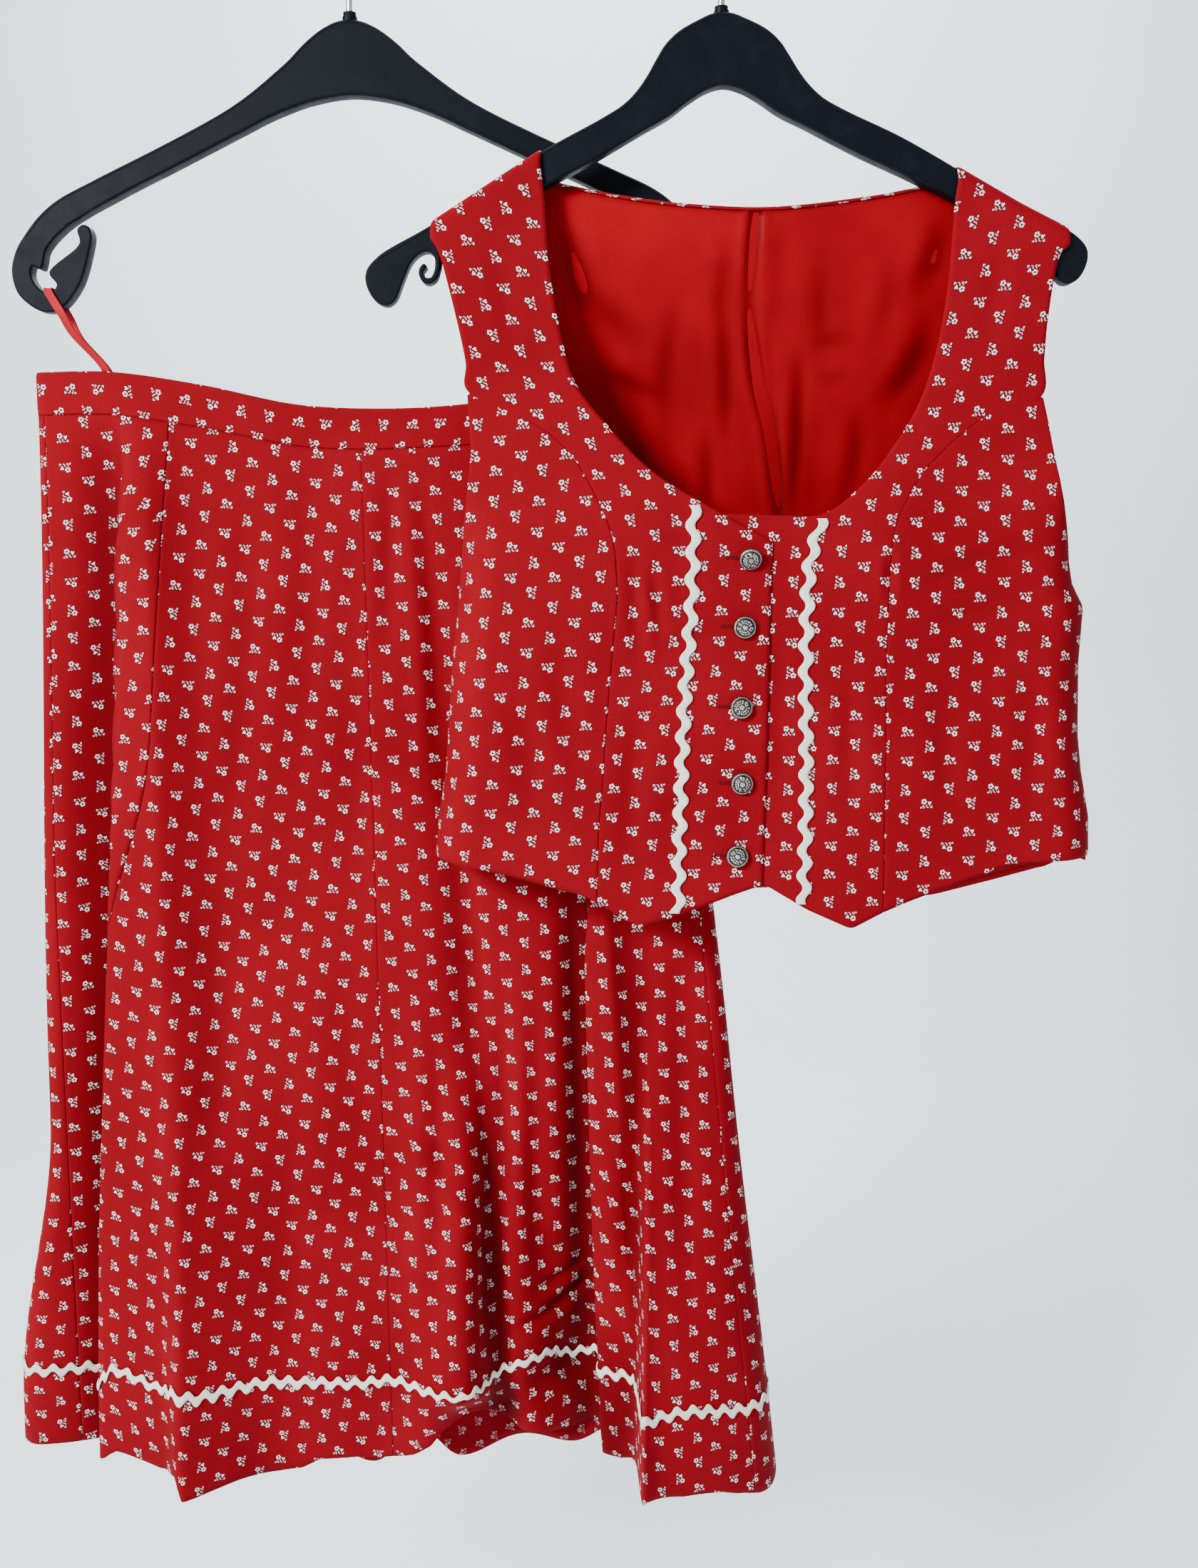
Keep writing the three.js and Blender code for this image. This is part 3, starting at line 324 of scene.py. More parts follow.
def flatPlace(tree):
    # the cloth's own flat map, in millimetres
    flat = newNode(tree, "ShaderNodeUVMap", uv_map="flat")
    node = newNode(tree, "ShaderNodeVectorMath", operation="SCALE")
    feed(tree, node.inputs[0], flat.outputs[0])
    feed(tree, node.inputs["Scale"], 1 / mm)
    return node.outputs[0]


def objectPlace(tree):
    return newNode(tree, "ShaderNodeTexCoord").outputs["Object"]


def bumped(tree, shader, *layers):
    # each layer is (height, strength, distance in metres)
    normal = None
    for height, strength, distance in layers:
        bump = newNode(tree, "ShaderNodeBump")
        feed(tree, bump.inputs["Height"], height)
        feed(tree, bump.inputs["Strength"], strength)
        feed(tree, bump.inputs["Distance"], distance)
        if normal is not None:
            feed(tree, bump.inputs["Normal"], normal)
        normal = bump.outputs[0]
    feed(tree, shader.inputs["Normal"], normal)


def attribute(tree, name):
    return newNode(tree, "ShaderNodeAttribute", attribute_name=name).outputs["Fac"]


def paintedFoldShade(tree, colour, strength):
    # painted shade: darker where the cloth lies deep in a fold
    share = maths(tree, "MULTIPLY", attribute(tree, "paintedShade"), strength)
    return mixColour(tree, share, colour, dyesAndShade["shade"], "MULTIPLY")


# colours of the cloth, print, lining, braid, tape and thread; the shade entry is the painted shade colour laid over
# hollows and folds
dyesAndShade = {
    "red": (0.225, 0.0020, 0.0080, 1), "redDeep": (0.168, 0.0013, 0.0055, 1),
    "pale": (0.84, 0.70, 0.69, 1), "rosy": (0.82, 0.42, 0.42, 1), "outline": (0.045, 0.0015, 0.005, 1),
    "lining": (0.285, 0.0010, 0.0060, 1), "liningDeep": (0.185, 0.0007, 0.0042, 1),
    "braid": (0.80, 0.79, 0.70, 1), "braidShade": (0.60, 0.59, 0.51, 1),
    "tape": (0.50, 0.020, 0.030, 1), "thread": (0.13, 0.002, 0.005, 1), "shade": (0.3, 0.22, 0.25, 1),
}


# pitch of the weave in mm, and how strongly threads, nap, the painted shade along seams, the painted shade of hollows
# and the wrong side tell
cottonLookAndShade = {"pitch": 0.55, "threads": 0.55, "nap": 0.4, "seam": 0.2, "paintedHollowShade": 0.62, "wrongSide": 0.35}
satinLookAndShade = {"pitch": 0.35, "threads": 0.4, "paintedHollowShade": 0.8}


def printCotton(name, wrongSide=False):
    material, tree, shader = newMaterial(
        name, Roughness=0.9, Sheen_Weight=0.05, Sheen_Roughness=0.4, Sheen_Tint=(1, 0.2, 0.2, 1),
        Specular_IOR_Level=0.06)
    place = flatPlace(tree)
    masks = placeGroup(tree, sprigGroup, Place=place)
    weave = placeGroup(tree, weaveGroup, Place=place, Pitch=cottonLookAndShade["pitch"])
    wear = placeGroup(tree, wearGroup, Place=objectPlace(tree))
    ground = mixColour(tree, wear["Cloud"], dyesAndShade["redDeep"], dyesAndShade["red"])
    threads = fade(tree, weave["Thread"], 0.32, 0.68, 0.0, cottonLookAndShade["threads"])
    ground = mixColour(tree, threads, ground, dyesAndShade["redDeep"])
    ground = mixColour(tree, fade(tree, wear["Nap"], 0.3, 0.7, 0.0, cottonLookAndShade["nap"]), ground, dyesAndShade["redDeep"])
    strength = cottonLookAndShade["wrongSide"] if wrongSide else 1.0
    colour = ground
    for mask, dye in (("Outline", "outline"), ("Rosy", "rosy"), ("Pale", "pale")):
        colour = mixColour(tree, maths(tree, "MULTIPLY", masks[mask], strength), colour, dyesAndShade[dye])
    # painted shade along each seam's sunk line, toward the dark outline dye
    seam = fade(tree, attribute(tree, "seam"), 0.1, 0.9, cottonLookAndShade["seam"], 0.0)
    colour = mixColour(tree, seam, colour, dyesAndShade["outline"])
    # painted shade in the hollows and folds of the cloth
    colour = paintedFoldShade(tree, colour, cottonLookAndShade["paintedHollowShade"])
    feed(tree, shader.inputs["Base Color"], colour)
    bumped(tree, shader, (weave["Height"], 0.25, 0.00008), (weave["Thread"], 0.3, 0.0002))
    return material


def liningSatin():
    material, tree, shader = newMaterial(
        "liningSatin", Roughness=0.5, Specular_IOR_Level=0.1, Specular_Tint=(1, 0.35, 0.35, 1))
    wear = placeGroup(tree, wearGroup, Place=objectPlace(tree))
    weave = placeGroup(tree, weaveGroup, Place=flatPlace(tree), Pitch=satinLookAndShade["pitch"])
    colour = mixColour(tree, wear["Cloud"], dyesAndShade["liningDeep"], dyesAndShade["lining"])
    threads = fade(tree, weave["Thread"], 0.3, 0.7, 0.0, satinLookAndShade["threads"])
    colour = mixColour(tree, threads, colour, dyesAndShade["liningDeep"])
    # painted shade at the bottoms of the lining's troughs
    feed(tree, shader.inputs["Base Color"], paintedFoldShade(tree, colour, satinLookAndShade["paintedHollowShade"]))
    feed(tree, shader.inputs["Roughness"], fade(tree, weave["Thread"], 0.3, 0.7, 0.42, 0.58))
    bumped(tree, shader, (weave["Thread"], 0.3, 0.00015))
    return material


def ribbedTape(name, dye, shade, pitch, slant):
    # braid or tape: ribs across its width, from the piece's own flat map
    material, tree, shader = newMaterial(name, Roughness=0.85, Specular_IOR_Level=0.1)
    parts = partsOf(tree, flatPlace(tree))
    across = maths(tree, "ABSOLUTE", parts[0])
    phase = maths(tree, "MULTIPLY_ADD", across, slant, parts[1])
    ribs = maths(tree, "SINE", maths(tree, "MULTIPLY", phase, 2 * math.pi / pitch))
    wear = placeGroup(tree, wearGroup, Place=objectPlace(tree))
    dirt = mixColour(tree, maths(tree, "MULTIPLY", wear["Cloud"], 0.35), dyesAndShade[dye], dyesAndShade[shade])
    # painted shade: the troughs between the ribs are darkened toward the shade dye given
    colour = mixColour(tree, fade(tree, ribs, -1.0, 0.2, 0.35, 0.0), dirt, dyesAndShade[shade])
    feed(tree, shader.inputs["Base Color"], colour)
    bumped(tree, shader, (ribs, 0.35, 0.00018), (wear["Nap"], 0.25, 0.0002))
    return material


def blackPlastic():
    material, tree, shader = newMaterial("blackPlastic", Specular_IOR_Level=0.08)
    place = objectPlace(tree)
    grain = noise(tree, place, 1400.0, 3.0, 0.6)
    scuffs = noise(tree, place, 55.0, 4.0, 0.7)
    dust = fade(tree, scuffs, 0.5, 0.75)
    feed(tree, shader.inputs["Base Color"], mixColour(
        tree, dust, (0.0022, 0.0034, 0.0068, 1), (0.004, 0.0055, 0.009, 1)))
    feed(tree, shader.inputs["Roughness"], fade(tree, scuffs, 0.3, 0.75, 0.42, 0.6))
    bumped(tree, shader, (grain, 0.2, 0.0002))
    return material


def wireSteel():
    material, tree, shader = newMaterial("wireSteel", Metallic=1.0)
    place = objectPlace(tree)
    drawn = noise(tree, vectors(tree, "MULTIPLY", place, (1.0, 1.0, 0.08)), 1500.0, 3.0, 0.6)
    spots = fade(tree, noise(tree, place, 120.0, 3.0, 0.6), 0.45, 0.75)
    feed(tree, shader.inputs["Base Color"], mixColour(
        tree, spots, (0.62, 0.63, 0.65, 1), (0.42, 0.42, 0.42, 1)))
    feed(tree, shader.inputs["Roughness"], fade(tree, drawn, 0.3, 0.7, 0.18, 0.34))
    bumped(tree, shader, (drawn, 0.15, 0.0001))
    return material


def agedSilver():
    material, tree, shader = newMaterial("agedSilver", Metallic=1.0)
    place = objectPlace(tree)
    raised = attribute(tree, "raised")
    mottled = maths(tree, "ADD", raised, maths(tree, "MULTIPLY", noise(tree, place, 700.0, 3.0, 0.6), 0.5))
    bright = fade(tree, mottled, 0.3, 1.1)
    feed(tree, shader.inputs["Base Color"], mixColour(
        tree, bright, (0.05, 0.048, 0.044, 1), (0.62, 0.61, 0.57, 1)))
    feed(tree, shader.inputs["Roughness"], fade(tree, mottled, 0.2, 1.0, 0.5, 0.22))
    bumped(tree, shader, (noise(tree, place, 1800.0, 2.0), 0.35, 0.0002))
    return material


cotton = printCotton("sprigCotton")
cottonBack = printCotton("sprigCottonWrongSide", wrongSide=True)
satin = liningSatin()
rickrack = ribbedTape("creamRickrack", "braid", "braidShade", 1.1, 0.7)
loopTape = ribbedTape("redLoopTape", "tape", "thread", 0.8, 0.0)
redThread = ribbedTape("redThread", "thread", "outline", 0.5, 0.4)
plastic = blackPlastic()
steel = wireSteel()
silver = agedSilver()
print("materials made")


def distancesAcross(points):
    # lengths along each row, from its first point and from its last
    steps = np.linalg.norm(np.diff(points, axis=1), axis=2)
    lengths = np.concatenate([np.zeros((points.shape[0], 1)), np.cumsum(steps, axis=1)], axis=1)
    return lengths, lengths[:, -1:] - lengths


def distancesDown(points):
    steps = np.linalg.norm(np.diff(points, axis=0), axis=2)
    return np.concatenate([np.zeros((1, points.shape[1])), np.cumsum(steps, axis=0)], axis=0)


def flatMapOf(points):
    # lengths along the cloth from its middle column and its top row: its cut, laid flat
    across, down = distancesAcross(points)[0], distancesDown(points)
    middle = points.shape[1] // 2
    return across - across[:, middle:middle + 1], -np.repeat(down[:, middle:middle + 1], points.shape[1], axis=1)


def hungMapOf(points):
    # the same for a piece that hangs: its height is measured down each column from that column's own top
    return flatMapOf(points)[0], points[0, :, 2] - distancesDown(points)


farFromSeam = 9.0              # mm, where the painted shade along a seam ends


def sheetPiece(name, points, materials, wall, flat=None, grain=0.0, shift=(0, 0), seam=None, facing=(0, -1, 0),
               drop=None, paintedShade=None):
    # a thin shell on a grid of points, rows down and columns across, with its cut as a UV map
    rows, columns = points.shape[:2]
    mesh = bmesh.new()
    bmesh.ops.create_grid(mesh, x_segments=columns - 1, y_segments=rows - 1, size=0.5)
    mesh.verts.ensure_lookup_table()
    spots = [(round((0.5 - v.co.y) * (rows - 1)), round((v.co.x + 0.5) * (columns - 1))) for v in mesh.verts]
    across, down = flatMapOf(points) if flat is None else flat
    turn = math.radians(grain)
    u = (across * math.cos(turn) - down * math.sin(turn) + shift[0]) * mm
    v = (across * math.sin(turn) + down * math.cos(turn) + shift[1]) * mm
    layer = mesh.loops.layers.uv.new("flat")
    seamLayer = mesh.verts.layers.float.new("seam")
    # painted shade of hollows and folds, darkening the cloth's colour
    paintedShadeLayer = mesh.verts.layers.float.new("paintedShade")
    for vert, (r, c) in zip(mesh.verts, spots):
        vert.co = points[r, c] * mm
        vert[seamLayer] = farFromSeam if seam is None else float(seam[r, c])
        vert[paintedShadeLayer] = 0.0 if paintedShade is None else float(paintedShade[r, c])
    for face in mesh.faces:
        face.smooth = True
        for loop in face.loops:
            r, c = spots[loop.vert.index]
            loop[layer].uv = (u[r, c], v[r, c])
    if drop:
        unused = [face for face in mesh.faces if drop(
            min(spots[v.index][0] for v in face.verts), min(spots[v.index][1] for v in face.verts))]
        bmesh.ops.delete(mesh, geom=unused, context="FACES")
    mesh.normal_update()
    middle = sum((face.normal * face.calc_area() for face in mesh.faces), Vector())
    if middle.dot(Vector(facing)) < 0:
        bmesh.ops.reverse_faces(mesh, faces=mesh.faces)
    piece = finishPiece(name, mesh, *materials)
    solid = piece.modifiers.new("wall", "SOLIDIFY")
    solid.thickness = wall * mm
    solid.offset = -1
    solid.material_offset = len(materials) - 1
    solid.use_quality_normals = True
    return piece


def finishPiece(name, mesh, *materials):
    data = bpy.data.meshes.new(name)
    mesh.to_mesh(data)
    mesh.free()
    piece = bpy.data.objects.new(name, data)
    bpy.context.scene.collection.objects.link(piece)
    for material in materials:
        data.materials.append(material)
    return piece


def attach(piece, slot, *nodes):
    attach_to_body(piece, "root")
    if nodes:
        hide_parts(*nodes)
    return piece


def crowded(count, ends=0.7):
    # shares from 0 to 1, closer together at both ends
    k = np.linspace(0, 1, count + 1)
    return k - ends * np.sin(2 * np.pi * k) / (2 * np.pi)


# the skirt is a flat tube with folds and tucks, cut into eight gores under a band
skirt = {
    "length": 750, "band": 27, "bandWall": 1.5, "wall": 0.9,
    "waistLeft": -432, "waistRight": -33, "flareLeft": 24, "flareRight": 94, "easeLeft": 9, "easeTo": 0.6,
    "kickLeft": 25, "kickFrom": 0.68, "kickTo": 0.95, "tuckEase": 0.12,
    "waistY": 34, "hemY": 46, "waistRadius": 5, "hemRadius": 17, "hemZ": -1018,
    "columnStep": 2.3, "rowStep": 4.0, "backColumnStep": 3.4, "backRowStep": 6.0,
}
waistTop = table(
    "x z",
    (-435, -266), (-383, -265.5), (-328, -273), (-253, -287), (-154, -285.5), (-70, -268), (-30, -266))
# soft folds: where the crest runs at the waist and the hem, how far it stands out, its slopes' widths
skirtFolds = table(
    "back waist hem out left right lean lower start",
    (0, -183, -140, -15, 17, 13, 0, 0, 0.04),
    (0, -290, -272, 12, 60, 70, 0, 2, 0.25),
    (0, -345, -352, 27, 18, 40, -6, 8, 0.5),
    (0, -180, -166, 33, 42, 25, 6, -30, 0.5),
    (0, -110, -84, -25, 26, 24, 0, 8, 0.5),
    (0, -30, -34, 60, 6, 105, -4, 4, 0.52),
    (0, -20, 40, 0, 30, 40, 0, 12, 0.3),
    (1, -400, -425, 5, 26, 22, 0, 8, 0.15),
    (1, -350, -370, 12, 12, 56, 0, 52, 0.2),
    (1, -265, -245, 9, 34, 30, 6, 42, 0.3),
    (1, -200, -168, 13, 26, 36, -5, 40, 0.2),
    (1, -120, -88, 7, 34, 26, 0, 24, 0.35),
    (1, -70, -10, 11, 28, 36, 4, 6, 0.25))
# tucks: the cloth right of the edge lies over the cloth left of it
skirtTucks = table(
    "waist hem step lap waistWidth hemWidth start grows",
    (-381, -407, 16, 58, 12, 26, 0.25, 0.03),
    (-90, -58, 14, 25, 9, 13, 0, 0.4))
# how far the front's braid and hem hang below their smooth line, across the skirt
hemDrops = table(
    "x braid hem",
    (-490, 3, 1), (-463, 3.5, 2), (-425, 7, 5.5), (-415, -6, -3), (-408, -6.5, -2), (-381, 2.5, 5), (-372, 0, 2),
    (-366, -6, -4), (-361, -7.5, 11), (-345, -4, 9), (-325, -2.6, 8.3), (-298, -1.4, 9), (-281, 0.5, 8), (-268, 1, 2),
    (-242, 4, 2.4), (-215, 5.2, 7), (-200, 14, 11), (-188, 22, 11), (-181, 26, 6), (-165, 32, 1), (-151, 27, 0),
    (-137, 9, -1), (-123, -4.5, -3), (-104, -10.5, -5), (-87, -3, -6), (-74, -3, -8), (-66, -2, 3), (-52, -2, 3),
    (-42, -1, -3), (-36, 0, -6), (-10, -3, -2), (18, -4.5, -4.5), (34, -4, -2), (50, -1, 4), (60, 0, 8))
goreSeams = table(
    "back waist hem",
    (0, -432, -446), (0, -344, -414), (0, -223, -217), (0, -96, -61),
    (0, -33, 61), (1, -120, -72), (1, -231, -210), (1, -340, -352))
# small creases of the hung cloth: from and to along x and z, bow, depth and width
skirtCreases = table(
    "fromA fromB toA toB bow depth width lean",
    (-186, -320, -178, -560, 3, 2.2, 6, 1), (-172, -330, -160, -640, -3, 1.6, 7, 1),
    (-205, -300, -212, -470, 2, 1.2, 7, 1), (-262, -310, -268, -520, 4, 1.2, 10, 1),
    (-300, -330, -322, -600, 5, 1.4, 11, 0.8), (-236, -380, -240, -700, 4, 1.0, 12, 1),
    (-128, -330, -112, -520, -3, 1.6, 7, 1), (-78, -300, -62, -480, 2, 1.4, 8, 1),
    (-150, -640, -130, -900, 5, 1.6, 10, 1), (-205, -760, -150, -850, 6, 1.8, 7, 1),
    (-198, -820, -140, -880, 5, 1.5, 6, 1), (-120, -740, -96, -960, -4, 1.5, 9, 1),
    (-330, -620, -352, -860, 6, 1.5, 12, 1), (-280, -700, -288, -960, -6, 1.3, 14, 1),
    (-246, -620, -232, -820, -5, 1.0, 12, 1), (-60, -560, -20, -800, -6, 1.6, 12, 1),
    (-10, -640, 24, -900, 6, 1.4, 14, 1), (-404, -420, -420, -700, -3, 1.2, 9, 1),
    (-181, -680, -184, -950, 2, 3.4, 8, 1), (-159, -700, -157, -950, -2, -2.6, 8, 1),
    (-136, -640, -146, -940, 3, 3.8, 9, 1), (-112, -660, -108, -900, -3, 1.8, 8, 1),
    (-54, -760, -47, -920, 2, 3.6, 7, 1), (-14, -640, -4, -920, -2, 2.8, 9, 1),
    (20, -700, 38, -960, 2, 2.2, 9, 1), (-140, -934, -68, -896, -5, 3.6, 5, 1),
    (-120, -905, -70, -880, -3, 2.4, 4, 1), (-128, -985, -72, -962, 0, 6, 18, 1))
backCreases = table(
    "fromA fromB toA toB bow depth width lean",
    (-392, -330, -410, -640, 5, 1.6, 10, 1), (-350, -310, -356, -700, -6, 1.8, 12, 0.9),
    (-300, -330, -300, -620, 5, 1.4, 11, 1), (-262, -320, -252, -760, -6, 1.6, 12, 1),
    (-212, -310, -196, -560, 4, 1.8, 10, 1), (-170, -330, -150, -700, -5, 1.5, 11, 1),
    (-128, -320, -96, -640, 6, 1.6, 11, 1), (-80, -310, -40, -600, -5, 1.6, 10, 1),
    (-318, -640, -330, -940, 6, 1.6, 14, 1), (-222, -640, -210, -960, -5, 1.5, 13, 1),
    (-130, -700, -110, -980, 6, 1.7, 13, 1), (-40, -640, -6, -940, -6, 1.5, 14, 1))

skirtBraid = {"period": 11.7, "swing": 2.3, "aboveHem": 60, "dropsFrom": 0.72}
hemArch = {"back": 26, "x": -158, "half": 30}         # the front hem curls back between two folds


def skirtRing(down):
    left = (skirt["waistLeft"] - skirt["flareLeft"] * np.maximum(down, 0) ** 1.2
            - skirt["easeLeft"] * smoothStep(down, 0, skirt["easeTo"])
            - skirt["kickLeft"] * smoothStep(down, skirt["kickFrom"], skirt["kickTo"]))
    right = skirt["waistRight"] + skirt["flareRight"] * down
    radius = mix(skirt["waistRadius"], skirt["hemRadius"], down)
    straight = right - left - 2 * radius
    return {"left": left, "right": right, "radius": radius, "straight": straight,
            "y": mix(skirt["waistY"], skirt["hemY"], down), "girth": 2 * straight + 2 * math.pi * radius}


def roundTo(ring, back, x):
    # length round the ring, from the left edge over the front, to a place across one face
    across = np.clip(x - ring["left"] - ring["radius"], 0, ring["straight"])
    corner = math.pi * ring["radius"] / 2
    return 3 * corner + 2 * ring["straight"] - across if back else corner + across


def ringPoint(ring, reach):
    radius, straight = ring["radius"], ring["straight"]
    corner = math.pi * radius / 2
    s = np.mod(reach, ring["girth"])
    leftX, rightX = ring["left"] + radius, ring["right"] - radius
    turnLeft = np.where(s < corner, s, s - ring["girth"]) / radius
    turnRight = (s - straight) / radius
    where = [s < corner, s < corner + straight, s < 3 * corner + straight, s < 3 * corner + 2 * straight]
    x = np.select(where, [leftX - radius * np.cos(turnLeft), leftX + s - corner,
                          rightX - radius * np.cos(turnRight), rightX - (s - 3 * corner - straight)],
                  leftX - radius * np.cos(turnLeft))
    y = np.select(where, [ring["y"] - radius * np.sin(turnLeft), ring["y"] - radius,
                          ring["y"] - radius * np.sin(turnRight), ring["y"] + radius],
                  ring["y"] - radius * np.sin(turnLeft))
    return x, y


def wayRound(ring, start, end):
    way = end - start
    return way - ring["girth"] * np.round(way / ring["girth"])


def skirtPoint(share, down):
    # share of the girth from the left edge, and share of the way down
    ring, waistRing = skirtRing(down), skirtRing(np.zeros_like(down))
    reach = share * ring["girth"]
    waistX = ringPoint(waistRing, share * waistRing["girth"])[0]
    x, y = ringPoint(ring, reach)
    lower = np.zeros_like(x)
    for fold in rowsOf(skirtFolds):
        way = -1 if fold["back"] else 1
        crest = roundTo(ring, fold["back"], mix(fold["waist"], fold["hem"], down))
        away = wayRound(ring, crest, reach) * way
        bump = np.exp(-(away / np.where(away < 0, fold["left"], fold["right"])) ** 2)
        grown = smoothStep(down, fold["start"], 1)
        y = y - way * fold["out"] * bump * grown
        x = x + fold["lean"] * bump * grown
        lower = lower + fold["lower"] * bump
    for tuck in rowsOf(skirtTucks):
        width = mix(tuck["waistWidth"], tuck["hemWidth"], down)
        edge = tuck["waist"] + (tuck["hem"] - tuck["waist"]) * np.maximum(down, 0) ** 1.3
        q = wayRound(ring, roundTo(ring, 0, edge + width / 3), reach) / width
        grown = (mix(tuck["start"], 1, smoothStep(down, 0, 1))
                 * smoothStep(down, tuck["grows"], tuck["grows"] + skirt["tuckEase"]))
        y = y - tuck["step"] * np.sqrt(grown) * q * np.exp((1 - q * q) / 2)
        x = x - np.where(np.abs(q) < 1, tuck["lap"] * grown * np.sin(np.pi * q) * np.cos(np.pi * q / 2) ** 2, 0)
    top = curveAt(waistTop, "x", "z", waistX)
    front = onFront(share)
    z = mix(top, skirt["hemZ"] - lower, down)
    braid, hem = lineAt(hemDrops, "x", "braid", x), lineAt(hemDrops, "x", "hem", x)
    atBraid = 1 - skirtBraid["aboveHem"] / skirt["length"]
    z = z - front * np.where(down < atBraid, braid * smoothStep(down, skirtBraid["dropsFrom"], atBraid),
                             mix(braid, hem, (down - atBraid) / (1 - atBraid)))
    curl = np.exp(-((x - hemArch["x"]) / hemArch["half"]) ** 2) * smoothStep(down, atBraid, 1)
    y = y + front * hemArch["back"] * curl
    return np.stack([x, y, z], axis=-1)


def outwardOf(surface, a, b, stepA=0.3, stepB=0.3):
    # unit normals of a surface on its outer side
    way = np.cross(surface(a + stepA, b) - surface(a - stepA, b), surface(a, b + stepB) - surface(a, b - stepB))
    return -way / np.linalg.norm(way, axis=-1, keepdims=True)


def skirtNormal(share, down):
    return outwardOf(skirtPoint, share, down, 0.0004, 0.0005)


def onFront(share):
    # 1 on the front face of the tube, 0 on its back
    return smoothStep(0.5 - np.abs(np.mod(share, 1) - 0.25) * 2, -0.04, 0.04)


def skirtCloth(share, down, off=0.0):
    # the skirt's outer face with its small creases, or a little off it
    share, down = np.broadcast_arrays(share, down)
    points = skirtPoint(share, down)
    front = onFront(share)
    height = (front * creased(points[..., 0], points[..., 2], skirtCreases)
              + (1 - front) * creased(points[..., 0], points[..., 2], backCreases))
    height = height * smoothStep(down, 0.035, 0.08)
    return points + skirtNormal(share, down) * (height + off)[..., None]


# the table of painted shade in hollows: its size, how far around a place it looks, and the depth in mm that is
# darkest
paintedHollowShade = {"shares": 900, "downs": 150, "wide": 26, "tall": 7, "soft": 7.0}


def makeHollowShadeTable():
    # painted shade, from how deep each place of the skirt lies below the cloth around it, as a table over the tube
    share = np.arange(paintedHollowShade["shares"])[None, :] / paintedHollowShade["shares"]
    down = np.linspace(0, 1, paintedHollowShade["downs"])[:, None]
    share, down = np.broadcast_arrays(share, down)
    ring = skirtRing(down)
    flatY = ringPoint(ring, share * ring["girth"])[1]
    way = 1 - 2 * onFront(share)
    out = (skirtCloth(share, down)[..., 1] - flatY) * way
    wide, tall = paintedHollowShade["wide"], paintedHollowShade["tall"]
    around = sum(np.roll(out, k, axis=1) for k in range(-wide, wide + 1)) / (2 * wide + 1)
    padded = np.pad(around, ((tall, tall), (0, 0)), mode="edge")
    around = sum(padded[k:k + len(out)] for k in range(2 * tall + 1)) / (2 * tall + 1)
    return np.clip((around - out) / paintedHollowShade["soft"], 0, 1)


hollowShadeTable = makeHollowShadeTable()


def hollowShadeAt(share, down):
    # the table read between its places
    s = np.mod(share, 1) * paintedHollowShade["shares"]
    d = np.clip(down, 0, 1) * (paintedHollowShade["downs"] - 1)
    s0, d0 = np.floor(s).astype(int), np.minimum(np.floor(d).astype(int), paintedHollowShade["downs"] - 2)
    fs, fd = s - s0, d - d0
    s0, s1 = s0 % paintedHollowShade["shares"], (s0 + 1) % paintedHollowShade["shares"]
    upper, lower = (mix(hollowShadeTable[row, s0], hollowShadeTable[row, s1], fs) for row in (d0, d0 + 1))
    return mix(upper, lower, fd)


def seamShare(number, down):
    ring = skirtRing(down)
    place = mix(goreSeams["waist"][number], goreSeams["hem"][number], down)
    return roundTo(ring, goreSeams["back"][number], place) / ring["girth"]


seamSink = {"depth": 0.24, "width": 0.9, "pucker": 0.14, "pitch": 8.5}


def seamHeight(away, along, phase):
    # a seam sinks a little and puckers beside its stitches
    sink = -seamSink["depth"] * np.exp(-(away / seamSink["width"]) ** 2)
    wave = np.sin(2 * np.pi * along / seamSink["pitch"] + phase + 1.4 * np.sin(along / 31 + phase))
    return sink + seamSink["pucker"] * wave * np.exp(-(away / 5) ** 2)


def goreGrid(number, columnStep, rowStep):
    # the gore's points, the distance of each from its nearest seam, and its painted shade from how deep it lies
    downs = np.linspace(skirt["band"] / skirt["length"], 1, round((skirt["length"] - skirt["band"]) / rowStep) + 1)
    first = seamShare(number, downs)[:, None]
    final = seamShare((number + 1) % 8, downs)[:, None] + (1 if number == 7 else 0)
    rough = skirtPoint(first[-1] + (final[-1] - first[-1]) * np.linspace(0, 1, 200), np.ones(200))
    widest = np.linalg.norm(np.diff(rough, axis=0), axis=1).sum()
    across = crowded(max(round(widest / columnStep), 24), 0.6)[None, :]
    share, down = np.broadcast_arrays(mix(first, final, across), downs[:, None])
    points = skirtCloth(share, down)
    away = np.minimum(*distancesAcross(points))
    height = seamHeight(away, down * skirt["length"], number * 1.7)
    return points + skirtNormal(share, down) * height[..., None], away, hollowShadeAt(share, down)


def makeGore(number, name, grain, shift):
    front = number < 4
    steps = (skirt["columnStep"], skirt["rowStep"]) if front else (skirt["backColumnStep"], skirt["backRowStep"])
    points, away, paintedShade = goreGrid(number, *steps)
    if number == 0:
        # the seam at the tube's left edge is pressed flat and hardly shows
        away = np.where(np.arange(away.shape[1]) < away.shape[1] // 4, farFromSeam, away)
    piece = sheetPiece(f"{name}_cloth", points, (cotton, cottonBack), skirt["wall"], flat=hungMapOf(points),
                       grain=grain, shift=shift, seam=away, facing=(0, -1 if front else 1, 0), paintedShade=paintedShade)
    attach(piece, "print_cotton", name)
    return piece, points


bandForm = {"off": 0.45, "edgeTurn": 0.7, "edgeWidth": 1.3, "wave": 0.35, "waveLength": 23}


